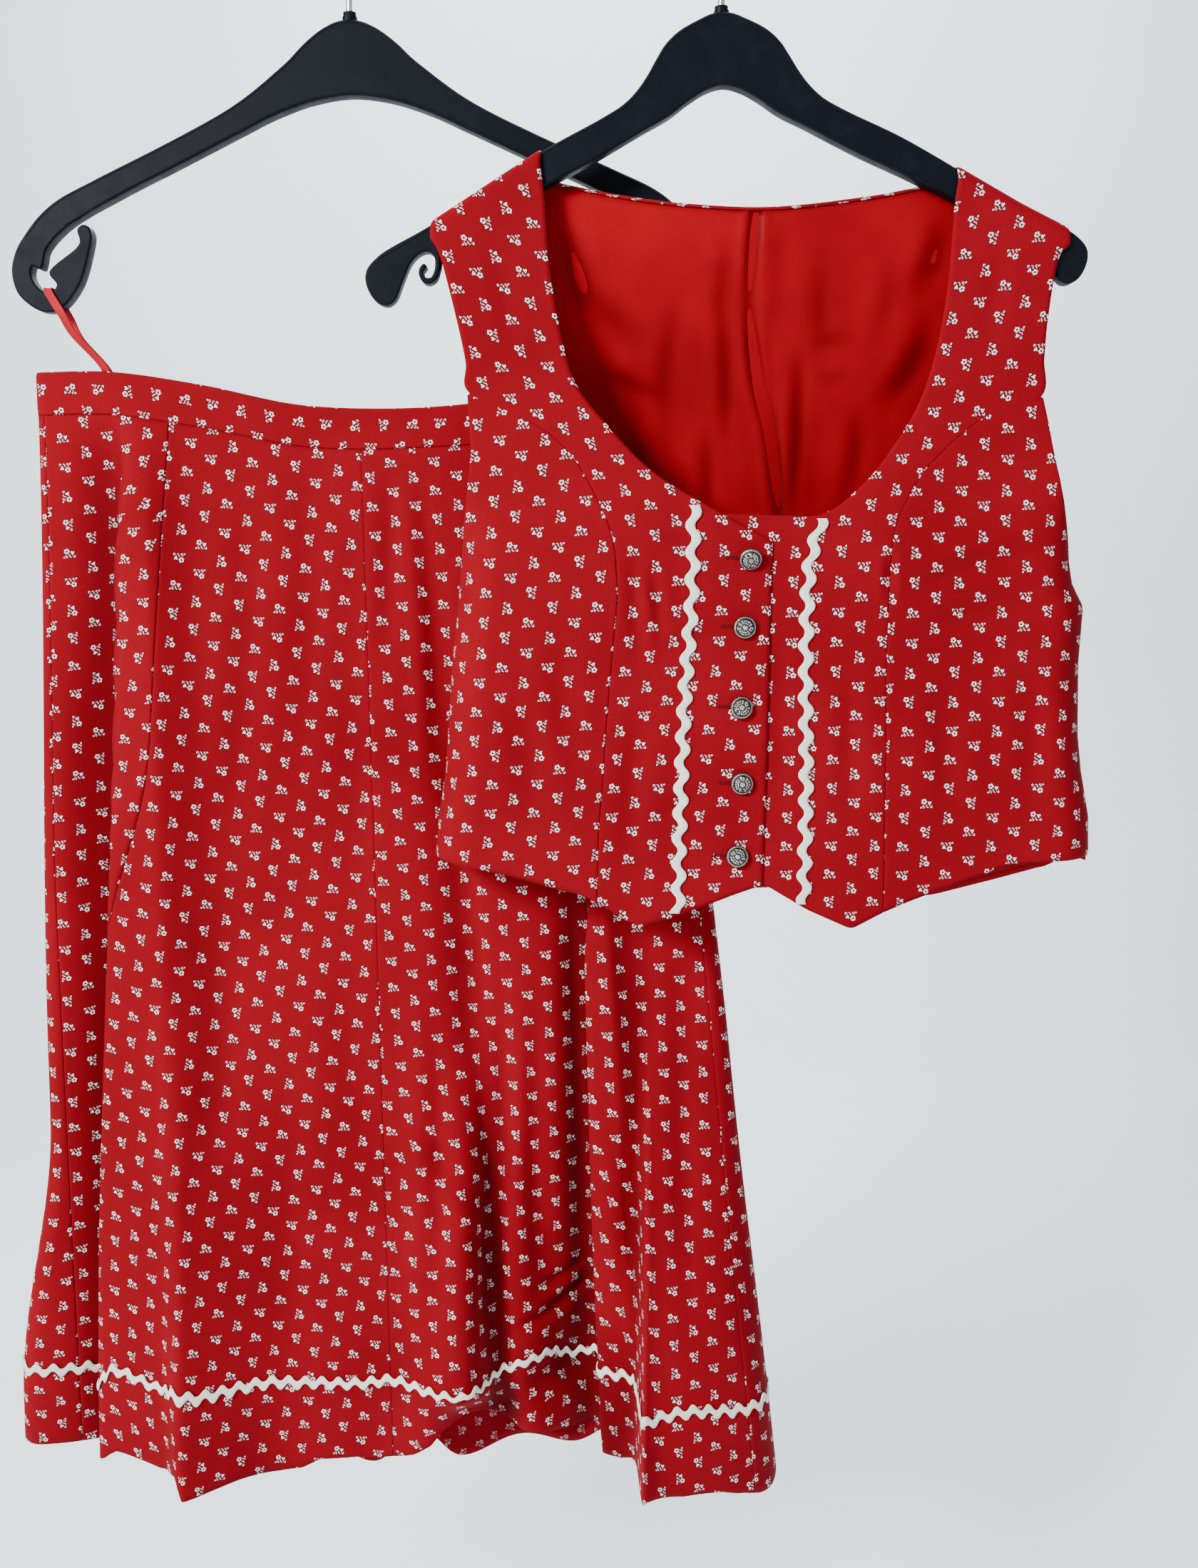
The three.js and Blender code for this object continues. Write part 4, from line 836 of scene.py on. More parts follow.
def makeBand(name, first, final, facing):
    # the waistband's face: two layers, with a sunk seam at its lower edge
    count = round(skirtRing(0.0)["straight"] / skirt["columnStep"])
    share = np.linspace(first, final, count + 1)[None, :]
    down = (crowded(12, 0.5) * skirt["band"] / skirt["length"])[:, None]
    share, down = np.broadcast_arrays(share, down)
    points = skirtPoint(share, down)
    above = down * skirt["length"]
    below, along = skirt["band"] - above, share * 1000
    wave = np.sin(along / bandForm["waveLength"]) * np.sin(np.pi * above / skirt["band"])
    height = (bandForm["off"] + seamHeight(below, along, 2.0)
              - bandForm["edgeTurn"] * np.exp(-(above / bandForm["edgeWidth"]) ** 2) + bandForm["wave"] * wave)
    face = points + skirtNormal(share, down) * height[..., None]
    piece = sheetPiece(f"{name}_cloth", face, (cotton, cotton), skirt["bandWall"], grain=90, shift=(3, 5),
                       seam=np.minimum(below, farFromSeam), facing=facing)
    attach(piece, "print_cotton", name)
    return piece, points


# rickrack is a rounded zigzag strip sewn along a line of the cloth
rick = {"width": 6.1, "wall": 0.75, "off": 0.35, "crown": 0.35, "step": 0.9}


def rickrackGrid(surface, place, length, period, swing):
    # surface(a, b, off) is the cloth; place(share, shift) gives a and b of a point beside the line
    share = np.linspace(0, 1, round(length / rick["step"]) + 1)[:, None]
    across = np.linspace(-1, 1, 7)[None, :]
    share, across = np.broadcast_arrays(share, across)
    phase = 2 * np.pi * share * length / period
    wave = swing * (np.sin(phase) + 0.04 * np.sin(3 * phase))
    a, b = place(share, wave + across * rick["width"] / 2)
    return surface(a, b, rick["off"] + rick["wall"] + rick["crown"] * (1 - across ** 2))


def makeRickrack(name, points, facing):
    piece = sheetPiece(f"{name}_tape", points, (rickrack, rickrack), rick["wall"], facing=facing)
    attach(piece, "braid", name)
    return piece


def makeHemBraid(name, first, final, facing):
    down = 1 - skirtBraid["aboveHem"] / skirt["length"]
    shares = np.linspace(first, final, 2000)
    line = skirtCloth(shares, np.full(2000, down))
    reach = np.concatenate([[0], np.cumsum(np.linalg.norm(np.diff(line, axis=0), axis=1))])

    def place(share, shift):
        return np.interp(share * reach[-1], reach, shares), down + shift / skirt["length"]

    points = rickrackGrid(skirtCloth, place, reach[-1], skirtBraid["period"], skirtBraid["swing"])
    return makeRickrack(name, points, facing)


def makeSkirt():
    names = [f"skirt_{face}_{n}" for face in ("front", "back") for n in (1, 2, 3, 4)]
    grains = (-2.5, 5.6, -1.1, 1.5, 3.0, -1.5, 1.0, -3.0)
    made = [makeGore(k, name, grains[k], (k * 5.3, k * 8.1)) for k, name in enumerate(names)]
    bands = [makeBand("skirt_waistband_front", 0, 0.5, (0, -1, 0)),
             makeBand("skirt_waistband_back", 0.5, 1, (0, 1, 0))]
    braids = [makeHemBraid("skirt_braid_front", 0.002, 0.498, (0, -1, 0)),
              makeHemBraid("skirt_braid_back", 0.502, 0.998, (0, 1, 0))]
    loops = [makeLoop("skirt_loop_left", -1), makeLoop("skirt_loop_right", 1)]


# the middle of each hanger's neck top, its lean in degrees and its plate
hangers = {
    "vest_hanger": {"x": 4, "y": -14, "z": -62, "tilt": 1.75, "thickness": 11, "bevel": 1.2},
    "skirt_hanger": {"x": -221, "y": 16, "z": -55, "tilt": 1, "thickness": 11, "bevel": 1.2},
}
# the vest has two fronts of two panels each, a back and the back's lining
vest = {
    "wall": 1.2, "backWall": 0.9, "liningWall": 0.6, "rowStep": 3.6,
    "sideGap": 0.08, "sideRound": 26, "armhole": 330, "underarm": 414,
    "lift": 1.9, "liftFrom": -22, "liftTo": 8, "waist": -400, "bodyLength": 200, "seamTop": -286,
    "edgeTurn": 0.9, "edgeWidth": 1.3, "creaseFrom": 12, "creaseTo": 40,
}
armEdge = table(
    "out drop",
    (0, 0), (6, 1.4), (13, 5.5), (26, 13.3), (34, 21), (39.5, 29), (44.5, 37), (50.5, 45), (59, 53),
    (73.5, 61.2), (106.6, 77.2), (178, 118.7), (210, 135.3))
overArm = table("length out up", (0, 0.15, 1.9), (3, 3.4, 2.1), (5.5, 5.6, 1.8), (8.5, 8, 0.2), (10.9, 9, -2.4),
                (16.5, 9.2, -8))
vestDepth = table(
    "z front back",
    (-620, -27, 27.6), (-540, -29, 28.3), (-450, -31, 28.3), (-380, -31, 27.5), (-300, -27, 22),
    (-240, -24, 7.2), (-205, -23.2, -2.4), (-185, -23.2, -4.6), (-140, -23.2, -4.8))
bust = {"out": 6, "z": -385, "across": 42, "along": 60, "places": (-58, 111)}
# armhole or side edge, princess seam and neckline or front edge, section by section
leftFront = table(
    "edge edgeZ seam seamZ neck neckZ",
    (-164, -205, -164, -205, -101, -172), (-155, -240, -155, -240, -98, -212),
    (-149.5, -266, -149.5, -266, -91, -252), (-148.5, -286, -147, -285, -82, -280),
    (-147.5, -304, -108, -303, -63, -304), (-147, -323, -86, -321, -36, -331),
    (-150, -347, -70, -347, 0, -353), (-153.5, -372, -60, -372, 38.3, -374),
    (-157, -400, -57, -400, 37.7, -400))
rightFront = table(
    "edge edgeZ seam seamZ neck neckZ",
    (208, -207, 208, -207, 144.5, -176), (203.5, -240, 203.5, -240, 142, -222),
    (202, -264, 202, -264, 136, -260), (202, -288, 200.5, -287, 126, -291),
    (205.5, -302, 165, -300, 112, -315), (211, -326, 130.5, -331, 92, -340),
    (218, -350, 113.5, -363, 63, -358.5), (226, -378, 110.5, -384, 10, -357),
    (231, -400, 110, -400, 12, -400))
vestBody = table(
    "z leftEdge leftSeam leftFront rightFront rightSeam rightEdge",
    (-620, -178, -70, 36, 12, 114, 252), (-575, -175.5, -69, 36.2, 12, 113.8, 251.5),
    (-549, -173, -68, 36.6, 12, 113, 250), (-519, -168, -65.5, 37.2, 12, 112.4, 243.5),
    (-495, -166, -64.2, 37.5, 12, 112, 240), (-450, -162.5, -60.5, 37.7, 12, 110.2, 238),
    (-414, -158.5, -57.5, 37.7, 12, 110, 239), (-400, -157, -57, 37.7, 12, 110, 231),
    (-372, -153.5, -60, 38.5, 12, 111, 223), (-331, -149, -80, 38.5, 12, 131, 213),
    (-289, -148.4, -148, 38.5, 12, 200, 202), (-248, -153, -153, 38.5, 12, 203, 203),
    (-205, -164, -164, 38.5, 12, 208, 208))
frontHem = table(
    "x z",
    (-176, -575), (-123, -585), (-78, -598), (-42, -619), (-19.5, -611.5), (20, -596), (37, -590),
    (65, -607), (94, -620), (114, -609), (132, -601), (194, -577), (245, -574))
backHem = table("x z", (-176, -577), (-147, -592), (-99, -606), (-58, -615), (10, -606), (70, -604), (120, -612),
                (158, -610), (200, -599), (236, -589), (245, -580))
backNeck = table("x z", (-101, -158), (-84, -162), (-51, -168), (-17, -172), (36, -174), (95, -168), (128, -162),
                 (143.5, -158))
straps = {
    "left": {"outer": -170, "inner": -103.5, "lowOuter": -164, "lowOuterZ": -205, "lowInner": -101},
    "right": {"outer": 215, "inner": 146, "lowOuter": 208, "lowOuterZ": -207, "lowInner": 143.5},
}
# small creases, from and to along x and z, bow, depth and width
frontCreases = table(
    "fromA fromB toA toB bow depth width lean",
    (-148, -366, -60, -398, 8, 1.9, 7, 1), (-140, -398, -70, -420, 5, 1.4, 7, 1),
    (20, -378, -36, -366, 3, 1.0, 4, 1), (16, -430, -34, -444, -3, 1.2, 5, 1),
    (14, -480, -32, -470, 3, 1.2, 5, 1), (12, -530, -36, -548, -3, 1.1, 5, 1),
    (-120, -460, -112, -560, 4, 1.8, 10, 1), (-40, -470, -48, -590, -3, 1.5, 8, 1),
    (-38, -386, -30, -440, 2, 1.7, 4, 1), (-46, -376, -42, -452, -2, 1.3, 5, 1),
    (110, -376, 110, -412, 0, 1.6, 3.5, 1), (-90, -410, -84, -520, -4, 1.3, 9, 1),
    (214, -384, 128, -404, -8, 1.9, 7, 1), (206, -416, 130, -430, -5, 1.4, 7, 1),
    (150, -450, 160, -560, -4, 1.7, 9, 1), (84, -440, 90, -560, 3, 1.5, 8, 1),
    (196, -440, 206, -560, 4, 1.9, 9, 1), (-132, -190, -122, -262, 2, 0.7, 7, 1),
    (176, -190, 168, -262, -2, 0.7, 7, 1), (40, -420, 46, -540, 2, 0.8, 7, 1))
vestBackCreases = table(
    "fromA fromB toA toB bow depth width lean",
    (-120, -230, -70, -380, 8, 1.4, 10, 1), (170, -230, 120, -380, -8, 1.4, 10, 1),
    (-60, -340, -66, -580, 5, 1.4, 11, 1), (30, -220, 34, -420, 3, 1.2, 12, 1),
    (110, -330, 112, -580, -5, 1.4, 11, 1), (-130, -420, -120, -560, 4, 1.2, 10, 1),
    (200, -420, 190, -560, -4, 1.2, 10, 1), (20, -440, -10, -570, -5, 1.0, 12, 1))
# creases of the lining seen in the neckline
liningCreases = table(
    "fromA fromB toA toB bow depth width lean",
    (28, -168, 25, -244, -1, 5.4, 3.4, 0.5), (25, -226, 40, -304, -2, 6.2, 3.6, 0.9),
    (37, -278, 52, -376, 1, 5.8, 4.0, 0.9), (36, -178, 36, -262, -1, -2.8, 6, 0.7),
    (41, -240, 60, -350, 2, -2.6, 6, 1), (58, -246, 56, -368, 2, 2.6, 4.2, 1),
    (-72, -262, -22, -281, -4, 2.8, 4.5, 1), (-84, -206, -34, -254, -5, 2.6, 8, 1),
    (-60, -262, -14, -268, 3, -1.6, 5, 1), (5, -214, 13, -318, 3, 2.4, 4.5, 1),
    (-14, -208, -20, -322, -8, 1.6, 6, 1), (0, -300, 2, -366, 1, 2.2, 5, 1),
    (96, -286, 88, -360, 5, 2.2, 6, 1), (140, -232, 108, -292, 6, 3.4, 7, 1),
    (141, -176, 128, -226, 3, 3.2, 8, 1), (-93, -178, -78, -236, 3, 3.4, 8, 1),
    (70, -190, 74, -262, -3, 1.6, 6, 1), (8, -186, 6, -240, 2, 1.4, 5, 1),
    (62, -256, 96, -250, 4, 1.5, 4, 1), (66, -270, 92, -268, -3, 1.3, 4, 1),
    (-50, -290, -44, -350, 2, 1.8, 7, 1), (112, -200, 104, -252, 3, 1.4, 6, 1))


def armTop(x):
    # height of the hanger's top edge under a place across the vest
    hanger = hangers["vest_hanger"]
    turn = math.radians(hanger["tilt"])
    z = np.full_like(np.asarray(x, float), hanger["z"])
    for _ in range(4):
        out = (x - hanger["x"]) * math.cos(turn) + (z - hanger["z"]) * math.sin(turn)
        drop = lineAt(armEdge, "out", "drop", np.abs(out))
        z = hanger["z"] + out * math.sin(turn) - drop * math.cos(turn)
    return z


def lengthAt(x, z):
    # how far down the cloth a place is, from the ridge over the hanger's arm
    return armTop(x) + overArm["up"][-1] - z + overArm["length"][-1]


def vestPoint(back, x, length):
    way = 1 if back else -1
    low = overArm["length"][-1]
    over = length < low
    z = armTop(x) + overArm["up"][-1] - (length - low)
    front, rear = curveAt(vestDepth, "z", "front", z), curveAt(vestDepth, "z", "back", z)
    swell = sum(bust["out"] * np.exp(-((x - place) / bust["across"]) ** 2 - ((z - bust["z"]) / bust["along"]) ** 2)
                for place in bust["places"])
    flat = rear if back else front - swell
    middle = (front + rear + way * vest["sideGap"]) / 2
    inside = np.minimum(x - lineAt(vestBody, "z", "leftEdge", z), lineAt(vestBody, "z", "rightEdge", z) - x)
    q = np.clip(inside / vest["sideRound"], 0, 1)
    closed = smoothStep(-z, vest["armhole"], vest["underarm"])
    y = mix(flat, middle + (flat - middle) * np.sqrt(q * (2 - q)), closed)
    y = np.where(over, hangers["vest_hanger"]["y"] + way * lineAt(overArm, "length", "out", length), y)
    z = np.where(over, armTop(x) + lineAt(overArm, "length", "up", length), z)
    return np.stack(np.broadcast_arrays(x, y, z), axis=-1)


def frontFace(x, length):
    return vestPoint(False, x, length)


def lappedFace(x, length):
    # the left front lifts where it laps over the right one
    points = vestPoint(False, x, length)
    points[..., 1] -= vest["lift"] * smoothStep(x, vest["liftFrom"], vest["liftTo"])
    return points


def backFace(x, length):
    return vestPoint(True, x, length)


def clothOn(face, creases, outer=1):
    # the face's outer side with its creases; outer is -1 where the shell is seen from behind
    def surface(x, length, off=0.0):
        x, length = np.broadcast_arrays(x, length)
        points = face(x, length)
        hanging = smoothStep(length, vest["creaseFrom"], vest["creaseTo"])
        height = creased(points[..., 0], points[..., 2], creases) * hanging
        return points + outwardOf(face, x, length) * outer * (height + off)[..., None]
    return surface


leftCloth = clothOn(lappedFace, frontCreases)
rightCloth = clothOn(frontFace, frontCreases)
backCloth = clothOn(backFace, vestBackCreases, -1)


def hemAt(rows, x):
    return sum(lineAt(rows, "x", "z", x + step) for step in (-2.5, 0, 2.5)) / 3


def stacked(rows):
    # x and cloth length of a grid's rows, as two arrays
    return tuple(np.array([row[k] for row in rows]) for k in range(2))


# rows over the arm, mm between two sections, the section whose corner stays sharp, columns of a panel
frontRows = {"overArm": 7, "section": 28, "corner": 7.0, "centreColumns": 52, "sideColumns": 44}


def frontPlaces(rows, which, part, across):
    # x and cloth length of every point of a front panel: over the arm, down to the bust, then the body
    strapSide = straps[which]
    centre = part == "centre"
    ends = ("seam", "neck") if centre else ("edge", "seam")
    firstRow = 0 if centre else 3
    low = overArm["length"][-1]
    tops = {"at": np.arange(-1 if centre else firstRow, 9, dtype=float)}
    for end, strapX in zip(ends, ("outer", "inner")):
        start = [strapSide[strapX]] if centre else []
        startZ = [float(armTop(np.array(strapSide[strapX]))) + overArm["up"][-1]] if centre else []
        tops[end] = np.concatenate([start, rows[end][firstRow:]])
        tops[end + "Z"] = np.concatenate([startZ, rows[end + "Z"][firstRow:]])
    grid = []
    if centre:
        for length in np.linspace(0, low, frontRows["overArm"] + 1)[:-1]:
            grid.append((mix(strapSide["outer"], strapSide["inner"], across), np.full_like(across, length)))
    first, last = tops["at"][0], tops["at"][-1]
    steps = np.linspace(first, last, round((last - first) * frontRows["section"] / vest["rowStep"]) + 1)[:-1]
    for at in np.union1d(steps, [frontRows["corner"]]):
        left, leftZ = (curveAt(tops, "at", ends[0] + way, at) for way in ("", "Z"))
        reader = lineAt if centre and at > frontRows["corner"] - 1 else curveAt
        right, rightZ = (reader(tops, "at", ends[1] + way, at) for way in ("", "Z"))
        x = mix(left, right, across)
        grid.append((x, lengthAt(x, mix(leftZ, rightZ, across))))
    columns = (f"{which}Seam", f"{which}Front") if centre else (f"{which}Edge", f"{which}Seam")
    for share in np.linspace(0, 1, round(vest["bodyLength"] / vest["rowStep"]) + 1):
        z = np.full_like(across, vest["waist"] - share * vest["bodyLength"])
        for _ in range(3):
            x = mix(*(curveAt(vestBody, "z", column, z) for column in columns), across)
            z = mix(vest["waist"], hemAt(frontHem, x), share)
        grid.append((x, lengthAt(x, z)))
    return stacked(grid)


def edgeTurn(away):
    return -vest["edgeTurn"] * np.exp(-(away / vest["edgeWidth"]) ** 2)


def flatHeight(x, length):
    # the panel laid flat: its height goes on rising where the strap turns over the hanger
    return armTop(x) + overArm["up"][-1] + overArm["length"][-1] - length


def flatAcross(points):
    # lengths along each row from its middle place, where the panel lies flat
    steps = np.hypot(np.diff(points[..., 0], axis=1), np.diff(points[..., 1], axis=1))
    lengths = np.concatenate([np.zeros((points.shape[0], 1)), np.cumsum(steps, axis=1)], axis=1)
    middle = points.shape[1] // 2
    way = np.sign(points[:, -1:, 0] - points[:, :1, 0])
    return points[:, middle:middle + 1, 0] + way * (lengths - lengths[:, middle:middle + 1])


# how far the print's columns lean to the right going down, on the straps and below the bust
frontGrain = {"left": (15, -5.5), "right": (-10.5, 0), "turnsAt": -372, "soft": 16}


def grainShift(height, which, part):
    above, below = (math.tan(math.radians(angle)) for angle in frontGrain[which])
    up = height - frontGrain["turnsAt"]
    strapPart = frontGrain["soft"] * np.logaddexp(0, up / frontGrain["soft"]) if part == "centre" else 0
    return strapPart * (above - below) + up * below


def makeFront(which, part, rows, shift):
    centre = part == "centre"
    across = crowded(frontRows[f"{part}Columns"], 0.6)
    x, length = frontPlaces(rows, which, part, across)
    surface, face = (leftCloth, lappedFace) if which == "left" else (rightCloth, frontFace)
    points = surface(x, length)
    fromFirst, fromLast = distancesAcross(points)
    seamAway, edgeAway = (fromFirst, fromLast) if centre else (fromLast, fromFirst)
    below = points[..., 2] < vest["seamTop"]               # above it both sides are free edges
    height = np.where(below | (not centre), seamHeight(seamAway, length, 3.0 * centre), edgeTurn(seamAway))
    aboveHem = distancesDown(points[::-1])[::-1]
    height = height + edgeTurn(edgeAway) * (1.0 if centre else 0.3) + edgeTurn(aboveHem) * 0.6
    points = points + outwardOf(face, x, length) * height[..., None]
    rise = flatHeight(x, length)
    flat = (flatAcross(points) + grainShift(rise, which, part), rise)
    name = f"vest_front_{part}_{which}"
    piece = sheetPiece(f"{name}_cloth", points, (cotton, satin), vest["wall"], flat=flat, shift=shift,
                       seam=np.where(below, seamAway, farFromSeam))
    piece.modifiers["wall"].material_offset_rim = 0
    attach(piece, "print_cotton", name)
    return piece, points


neckRoll = {"radius": 1.5, "turn": 205, "rows": 8}
vestBack = {"strapColumns": 20, "neckColumns": 130, "topZ": -205.0, "hemZ": -577.0, "length": 420, "rowStep": 5}
# how far the lining stays in from the sides, below the top, above the hem and inside the back
vestLining = {
    "inset": 29, "topDrop": 0.8, "hemRise": 5, "inside": 2.1, "rows": 110, "creases": 0.42, "shadeDepth": 3.6,
}


def makeZones():
    # the back's columns, both straps and the neck between them: which they are, and the share across each
    strap = crowded(vestBack["strapColumns"], 0.5)
    neck = np.linspace(0, 1, vestBack["neckColumns"])[1:-1]
    column = np.arange(2 * len(strap) + len(neck))
    isLeft = column < len(strap)
    return isLeft, ~isLeft & (column < len(strap) + len(neck)), np.concatenate([strap, neck, strap[::-1]])


isLeft, isNeck, zoneShare = makeZones()


def strapValue(name):
    return np.where(isLeft, straps["left"][name], straps["right"][name])


def backAcross(z, inset):
    edge = np.where(isLeft, lineAt(vestBody, "z", "leftEdge", z) + inset,
                    lineAt(vestBody, "z", "rightEdge", z) - inset)
    neck = mix(straps["left"]["lowInner"], straps["right"]["lowInner"], zoneShare)
    return np.where(isNeck, neck, mix(edge, strapValue("lowInner"), zoneShare))


def backPlaces(rowShare, inset=0.0, topDrop=0.0, hemRise=0.0):
    # x and cloth length along one row, between the top edge and the hem
    topX, hemX = (backAcross(np.full(len(zoneShare), vestBack[end]), inset) for end in ("topZ", "hemZ"))
    outer, inner = strapValue("lowOuter"), strapValue("lowInner")
    shoulder = mix(strapValue("lowOuterZ"), backNeck["z"][0], np.clip((topX - outer) / (inner - outer), 0, 1))
    top = np.where(isNeck, curveAt(backNeck, "x", "z", topX), shoulder)
    z = mix(top - topDrop, hemAt(backHem, hemX) + hemRise, rowShare)
    x = backAcross(z, inset)
    return x, lengthAt(x, z)


def makeBack():
    # the first rows are the straps over the arm; between the straps they roll the neckline's edge
    rolls = neckRoll["rows"]
    topX = np.where(isNeck, backPlaces(0)[0], mix(strapValue("outer"), strapValue("inner"), zoneShare))
    grid = [(topX, np.full_like(topX, overArm["length"][-1] * k / rolls)) for k in range(rolls)]
    grid += [backPlaces(share) for share in np.linspace(0, 1, round(vestBack["length"] / vestBack["rowStep"]) + 1)]
    x, length = stacked(grid)
    points = backCloth(x, length)
    for k in range(rolls):
        turn = math.radians(neckRoll["turn"] * (1 - k / rolls))
        rolled = points[rolls] + np.array([0, -(1 - math.cos(turn)), math.sin(turn)]) * neckRoll["radius"]
        points[k] = np.where(isNeck[:, None], rolled, points[k])
    piece = sheetPiece("vest_back_cloth", points, (cotton, satin), vest["backWall"],
                       flat=(flatAcross(points), flatHeight(x, length)), shift=(4, 2), facing=(0, 1, 0),
                       drop=lambda r, c: r < rolls and isNeck[c] != isNeck[c + 1])
    piece.modifiers["wall"].material_offset_rim = 0
    attach(piece, "print_cotton", "vest_back")
    return piece


def makeLining(back):
    size = vestLining
    x, length = stacked([backPlaces(share, size["inset"], size["topDrop"], size["hemRise"])
                         for share in np.linspace(0, 1, size["rows"])])
    inward = outwardOf(backFace, x, length)
    smooth = backFace(x, length) + inward * size["inside"]
    height = size["creases"] * creased(smooth[..., 0], smooth[..., 2], liningCreases)
    points = smooth + inward * height[..., None]
    # painted shade at the bottoms of the lining's troughs
    paintedShade = creaseShade(smooth[..., 0], smooth[..., 2], liningCreases, size["shadeDepth"])
    piece = sheetPiece("vest_back_lining_cloth", points, (satin, satin), vest["liningWall"],
                       flat=(x, flatHeight(x, length)), paintedShade=paintedShade)
    attach(piece, "lining", "vest_back_lining")


vestBraid = {"period": 16.3, "swing": 2.1}
vestBraids = {
    "left": table("z x", (-352, -10.5), (-407, -11.3), (-474, -15), (-549, -17), (-609, -17.7)),
    "right": table("z x", (-360, 68), (-380, 62.5), (-397, 60.4), (-450, 60.2), (-524, 62.3), (-603, 62.7)),
}


def makeVestBraid(which, surface):
    rows = vestBraids[which]
    top, bottom = rows["z"][0], rows["z"][-1]

    def place(share, shift):
        z = mix(top, bottom, share)
        x = curveAt(rows, "z", "x", z) + shift
        return x, lengthAt(x, z)

    points = rickrackGrid(surface, place, top - bottom, vestBraid["period"], vestBraid["swing"])
    return makeRickrack(f"vest_braid_{which}", points, (0, -1, 0))


buttonPlaces = table(
    "x z lean",
    (24.4, -384, 24), (21.7, -426, 4), (20.5, -476, -5), (21.7, -524, 3), (19.5, -571, -4))
buttonSizes = {
    "radius": 7.0, "height": 4.6, "domeFall": 0.62, "domePower": 2.4, "beads": 30, "leaves": 5,
    "turns": 110, "rings": 44, "relief": 0.5, "reliefAbove": 1.1, "clear": 0.3,
}
# from the rim under to the flat back: share of the radius, and height
buttonUnder = ((1.0, 1.0), (0.9, 0.25), (0.55, 0.0), (0, 0))
# where each ring of the ornament lies and how wide it is, in shares of the radius
buttonRings = {"rope": (0.91, 0.07), "groove": (0.79, 0.04), "wreath": (0.53, 0.2), "boss": (0.16, 0.06),
               "crown": (0, 0.07)}


def buttonRelief(reach, angle):
    # height of the ornament over the dome: roped rim, wreath of curling leaves, boss in the middle
    size = buttonSizes
    share = reach / size["radius"]
    ring = {name: np.exp(-((share - at) / wide) ** (4 if name == "wreath" else 2))
            for name, (at, wide) in buttonRings.items()}
    rope = ring["rope"] * (0.6 + 0.4 * np.cos(angle * size["beads"] + share * 26))
    groove = -0.6 * ring["groove"]
    swirl = angle + 0.35 * np.sin(2 * angle + 1) + 0.9 * share
    leaves = np.cos(size["leaves"] * swirl + 9 * share) * np.cos(9 * angle - 13 * share + 0.8 * np.sin(3 * angle))
    veins = np.cos(17 * swirl - 21 * share)
    boss = 0.9 * ring["boss"] * (0.7 + 0.3 * np.cos(5 * angle)) + 0.9 * ring["crown"]
    return size["relief"] * (rope + groove + ring["wreath"] * (0.35 + 0.75 * leaves + 0.28 * veins) + boss)


def makeButton(number, x, z, lean):
    size = buttonSizes
    mesh = bmesh.new()
    # dome from its crown to its rim, then under the rim to the flat back
    profile = [(size["radius"] * s, size["height"] * (1 - size["domeFall"] * s ** size["domePower"]))
               for s in np.linspace(0, 1, size["rings"])]
    profile += [(size["radius"] * s, h) for s, h in buttonUnder]
    verts = [mesh.verts.new((r, 0, h)) for r, h in profile]
    edges = [mesh.edges.new(pair) for pair in zip(verts, verts[1:])]
    bmesh.ops.spin(mesh, geom=verts + edges, axis=(0, 0, 1), cent=(0, 0, 0), angle=2 * math.pi,
                   steps=size["turns"], use_merge=True)
    bmesh.ops.remove_doubles(mesh, verts=mesh.verts, dist=0.01)
    bmesh.ops.recalc_face_normals(mesh, faces=mesh.faces)
    raisedLayer = mesh.verts.layers.float.new("raised")
    spots = np.array([v.co[:] for v in mesh.verts])
    reach, angle = np.hypot(spots[:, 0], spots[:, 1]), np.arctan2(spots[:, 1], spots[:, 0])
    relief = np.where(spots[:, 2] > size["reliefAbove"], buttonRelief(reach, angle), 0)
    for vert, rise in zip(mesh.verts, relief):
        vert.co.z += float(rise)
        vert[raisedLayer] = float(rise / size["relief"]) if vert.co.z > size["reliefAbove"] else 0.3
    turn = math.radians(lean)
    low = max(r * math.sin(abs(turn)) - h * math.cos(turn) for r, h in profile)
    y = float(leftCloth(np.array(x), lengthAt(np.array(float(x)), z))[1]) - size["clear"] - low
    bmesh.ops.transform(mesh, verts=mesh.verts, matrix=Matrix.Scale(mm, 4) @ Matrix.Translation((x, y, z))
                        @ Matrix.Rotation(math.pi / 2 + turn, 4, "X") @ Matrix.Rotation(number * 0.9, 4, "Z"))
    for face in mesh.faces:
        face.smooth = True
    piece = finishPiece(f"vest_button_{number}_cast", mesh, silver)
    attach(piece, "old_silver", f"vest_button_{number}")


buttonhole = {
    "length": 11.5, "width": 1.0, "reach": -3.5, "height": 0.4, "tilt": 0.04,
    "lift": 0.12, "stitches": 22, "stitch": 0.14, "slit": 0.5,
}


def makeButtonhole(number, x, z):
    # two rows of close stitches either side of the slit, ending under the button
    size = buttonhole
    share = np.linspace(0, 1, 40)[:, None]
    across = np.linspace(-1, 1, 9)[None, :]
    share, across = np.broadcast_arrays(share, across)
    a = x + size["reach"] - share * size["length"]
    height = z + share * size["tilt"] * size["length"] + across * size["width"]
    stitch = size["stitch"] * np.sin(share * 2 * np.pi * size["stitches"] + across * 0.8)
    slit = -size["slit"] * np.exp(-(across / 0.22) ** 2) * smoothStep(1 - share, 0.04, 0.1)
    crown = size["height"] * (1 - across ** 4) ** 0.5 * smoothStep(1 - share, 0, 0.05)
    points = leftCloth(a, lengthAt(a, height), size["lift"] + crown + stitch + slit)
    piece = sheetPiece(f"vest_buttonhole_{number}", points, (redThread, redThread), 0.3)
    return attach(piece, "print_cotton")


